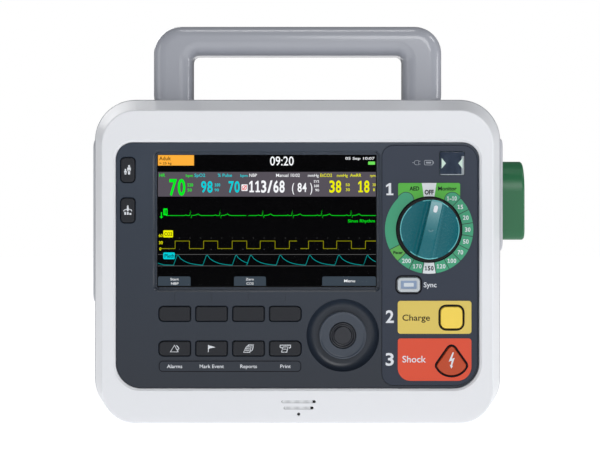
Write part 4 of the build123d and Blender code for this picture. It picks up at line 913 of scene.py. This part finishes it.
# ----------------------------------------------------------------------------------------------- ready window
# A block of smoked clear polycarbonate. Behind it two white flags point at each other while the machine is
# ready, on the dark front of the indicator.
window_x, _, window_z = middle("ready_window")
smoke = Finish("smoked_window", Alpha=0.6, Specular_IOR_Level=0.4, Coat_Weight=0.3)
film = smoke.noise(5, 3, (1, 1, 0.4))
right, _, up = smoke.axes((window_x * MM, 0, window_z * MM))
# Painted glint: the lower part of the right edge and the bottom edge are painted lighter.
edge_glint = ((right > 6.6) * (up < 5.0)) | (up < -7.5)
tone = smoke.mix(film ** 1.5, shade(34, 46, 66), shade(96, 110, 132))
tone = smoke.mix(edge_glint * 0.75, tone, shade(214, 224, 228))
smoke.set({"Base Color": tone, "Roughness": film * 0.1 + 0.08})
smoke.on("ready_window")
window_half = 7.3
backing = moulded("indicator_black", (18, 22, 32), roughness=0.5, grain=0.3, mottle=0.1)
indicator_y, flag_y = -81.41, -84.2
flags = []
for side in (-1, 1):
    flags.append(shape([(side * window_half, 3.7), (side * window_half, -3.7), (side * 4.3, 0)], 0.05))
window_face = face(window_x, indicator_y, window_z)
printed("indicator_ground", [shape(rounded(0, 0, 14.8, 16.2, 0.6), thick=0.02)], backing, window_face)
flag_white = lit("flag_white", (215, 238, 226), 0.9)
printed("ready_flags", flags, flag_white, face(window_x, flag_y, window_z))

# ----------------------------------------------------------------------------------------------- therapy port
# The shroud of the therapy cable's socket is a green moulding on the right side. The dark insert in it has
# gold sleeves in its holes.
moulded("port_green", (32, 106, 66), roughness=0.36, mottle=0.06).on("therapy_port")
insert = Finish("contact_insert")
sleeve = insert.axes((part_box("port_contacts")[1].x, 0, 0))[0] < -0.6
fine = insert.noise(0.6, 2)
tone = insert.mix(sleeve, shade(44, 47, 52), shade(222, 190, 120))
insert.set({"Base Color": tone, "Metallic": sleeve, "Roughness": fine * 0.12 + 0.34})
insert.bump(fine, 0.006)
insert.on("port_contacts")

# --------------------------------------------------------------------------------------------- sensor sockets
# A raised grey panel on the left carries four sockets: a green one for the heart leads, a blue one for the
# oximeter, a metal one for the cuff's hose and a white one for the gas line, each with a printed name.
moulded("sensor_grey", (190, 193, 199), roughness=0.45, mottle=0.03).on("sensor_panel")
moulded("socket_green", (58, 150, 100), roughness=0.35, mottle=0.05).on("ecg_socket")
moulded("socket_blue", (60, 110, 176), roughness=0.35, mottle=0.05).on("oximetry_socket")
metal("socket_metal", (190, 192, 196), stretch=(0.1, 1, 1)).on("cuff_socket")
moulded("socket_white", (226, 226, 220), roughness=0.38, mottle=0.03).on("gas_socket")
gold = metal("pin_gold", (224, 192, 120), stretch=(0.1, 1, 1))
sockets = {"ecg": (-0.5, 180.0), "oximetry": (37.5, 180.0), "cuff": (-0.5, 124.0), "gas": (37.5, 124.0)}
titles = {"ecg": "ECG", "oximetry": "SpO2", "cuff": "NBP", "gas": "CO2"}
pin_circles = {"ecg": 4.2, "oximetry": 3.2}
socket_x, sensor_x = -157.5, -156.5
for socket, (y, z) in sockets.items():
    place = face(socket_x, y, z, -90)
    if socket in pin_circles:
        pin_places = arc(0, 0, pin_circles[socket], 0, 300, 5)
        pins = [disc(x, up, 0.6, lift=-13.9, thick=7.5) for x, up in pin_places]
        printed(f"{socket}_pins", pins, gold, place)
    name_place = face(sensor_x, y, z, -90)
    printed(f"{socket}_name", [words(titles[socket], 0, 15.2, 4.4)], dark_print, name_place)

# ------------------------------------------------------------------------------------------------ printer
# A strip printer on the right side: a moulded frame, a paper roll on two hubs, a heated head, and a door
# that carries the rubber platen roller and a sprung latch.
moulded("frame_black", (48, 50, 54), roughness=0.5, mottle=0.08).on("printer_frame")
metal("head_metal", (150, 152, 158), stretch=(1, 0.1, 1)).on("print_head")
roll_paper = moulded("roll_paper", (232, 232, 226), roughness=0.8, grain=0.4, depth=0.02, mottle=0.04)
roll_paper.on("paper_roll")
moulded("latch_grey", (120, 124, 132), roughness=0.42, mottle=0.04).on("door_latch")
door_low, door_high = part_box("printer_door")
door_y = (door_low.y + door_high.y) / 2 / MM
door_z = (door_low.z + door_high.z) / 2 / MM
door_sign = [
    stroke([(-4, 0.8), (-4, 3), (4, 3), (4, 0.8), (2.9, 0.3)], 0.6),
    stroke([(-4, 0.8), (-2, 0.5)], 0.55),
    stroke([(-1.7, 1.2), (2.1, 1.2), (1.2, -3), (-3, -3)], 0.6, closed=True),
]
side_x = bezel_high.x / MM
printed("door_sign", door_sign, dark_print, face(side_x, door_y, door_z, 90), "printer_door")

# ------------------------------------------------------------------------------------------------ rear
# The battery slides into the rear wall and is held by a sliding latch. The mains inlet and the brass earth
# post stand beside it, each with its sign printed in dark ink.
moulded("battery_grey", (72, 76, 84), roughness=0.48, depth=0.02, mottle=0.05).on("battery_pack")
moulded("latch_teal", (36, 112, 116), roughness=0.4, mottle=0.05).on("battery_latch")
component_black = moulded("component_black", (24, 24, 26), roughness=0.4, mottle=0.15)
component_black.on("mains_inlet", "nav_encoder", "rotary_switch")
sink = 0.03
rear_y = cad_box[1].y / MM - sink
inlet_low, inlet_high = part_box("mains_inlet")
inlet_x = (inlet_low.x + inlet_high.x) / 2 / MM
wave = [(-3 + step * 0.5, 1.1 * math.sin(step * math.pi / 6)) for step in range(13)]
printed("mains_sign", [stroke(wave, 0.5)], dark_print, face(inlet_x, rear_y, inlet_high.z / MM + 6, 180))
earth_low, earth_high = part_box("earth_post")
earth_x = (earth_low.x + earth_high.x) / 2 / MM
earth_z = (earth_low.z + earth_high.z) / 2 / MM
earth_sign = [
    stroke([(0, 2.6), (0, -0.4)], 0.5),
    stroke([(-2.6, -0.4), (2.6, -0.4)], 0.5),
    stroke([(-1.7, -1.4), (1.7, -1.4)], 0.5),
    stroke([(-0.8, -2.4), (0.8, -2.4)], 0.5),
    stroke(ring(0, 0, 4.0), 0.45, closed=True),
]
printed("earth_sign", earth_sign, dark_print, face(earth_x, rear_y, earth_z + 16, 180))

# ------------------------------------------------------------------------------------------------ inside
# Circuit boards, a sheet-metal chassis, the storage capacitor, the supply, the cuff's pump and the speaker.
# They show only through openings and at open doors, so each has its own stuff but no small parts added.
board_green = Finish("circuit_green", Coat_Weight=0.4, Coat_Roughness=0.25)
place = board_green.node("ShaderNodeTexCoord", output="Object")
squares = {"feature": "DISTANCE_TO_EDGE", "distance": "CHEBYCHEV"}
paths = board_green.node("ShaderNodeTexVoronoi", squares, {"Vector": place, "Scale": 420.0})
copper = paths < 0.05
tone = board_green.mix(copper, shade(16, 78, 46), shade(46, 124, 74))
board_green.set({"Base Color": tone, "Roughness": board_green.noise(0.6) * 0.1 + 0.35})
board_green.bump(copper, 0.02)
board_green.on("keypad_board", "main_board", "high_voltage_board")
sheet_metal = metal("sheet_metal", (176, 179, 184), roughness=0.42, stretch=(0.1, 1, 1), grain=2.0)
sheet_metal.on("chassis", "power_supply")
moulded("sleeve_blue", (38, 58, 110), roughness=0.35, mottle=0.06).on("storage_capacitor")
moulded("pump_black", (32, 33, 36), roughness=0.4, mottle=0.1).on("cuff_pump", "speaker")
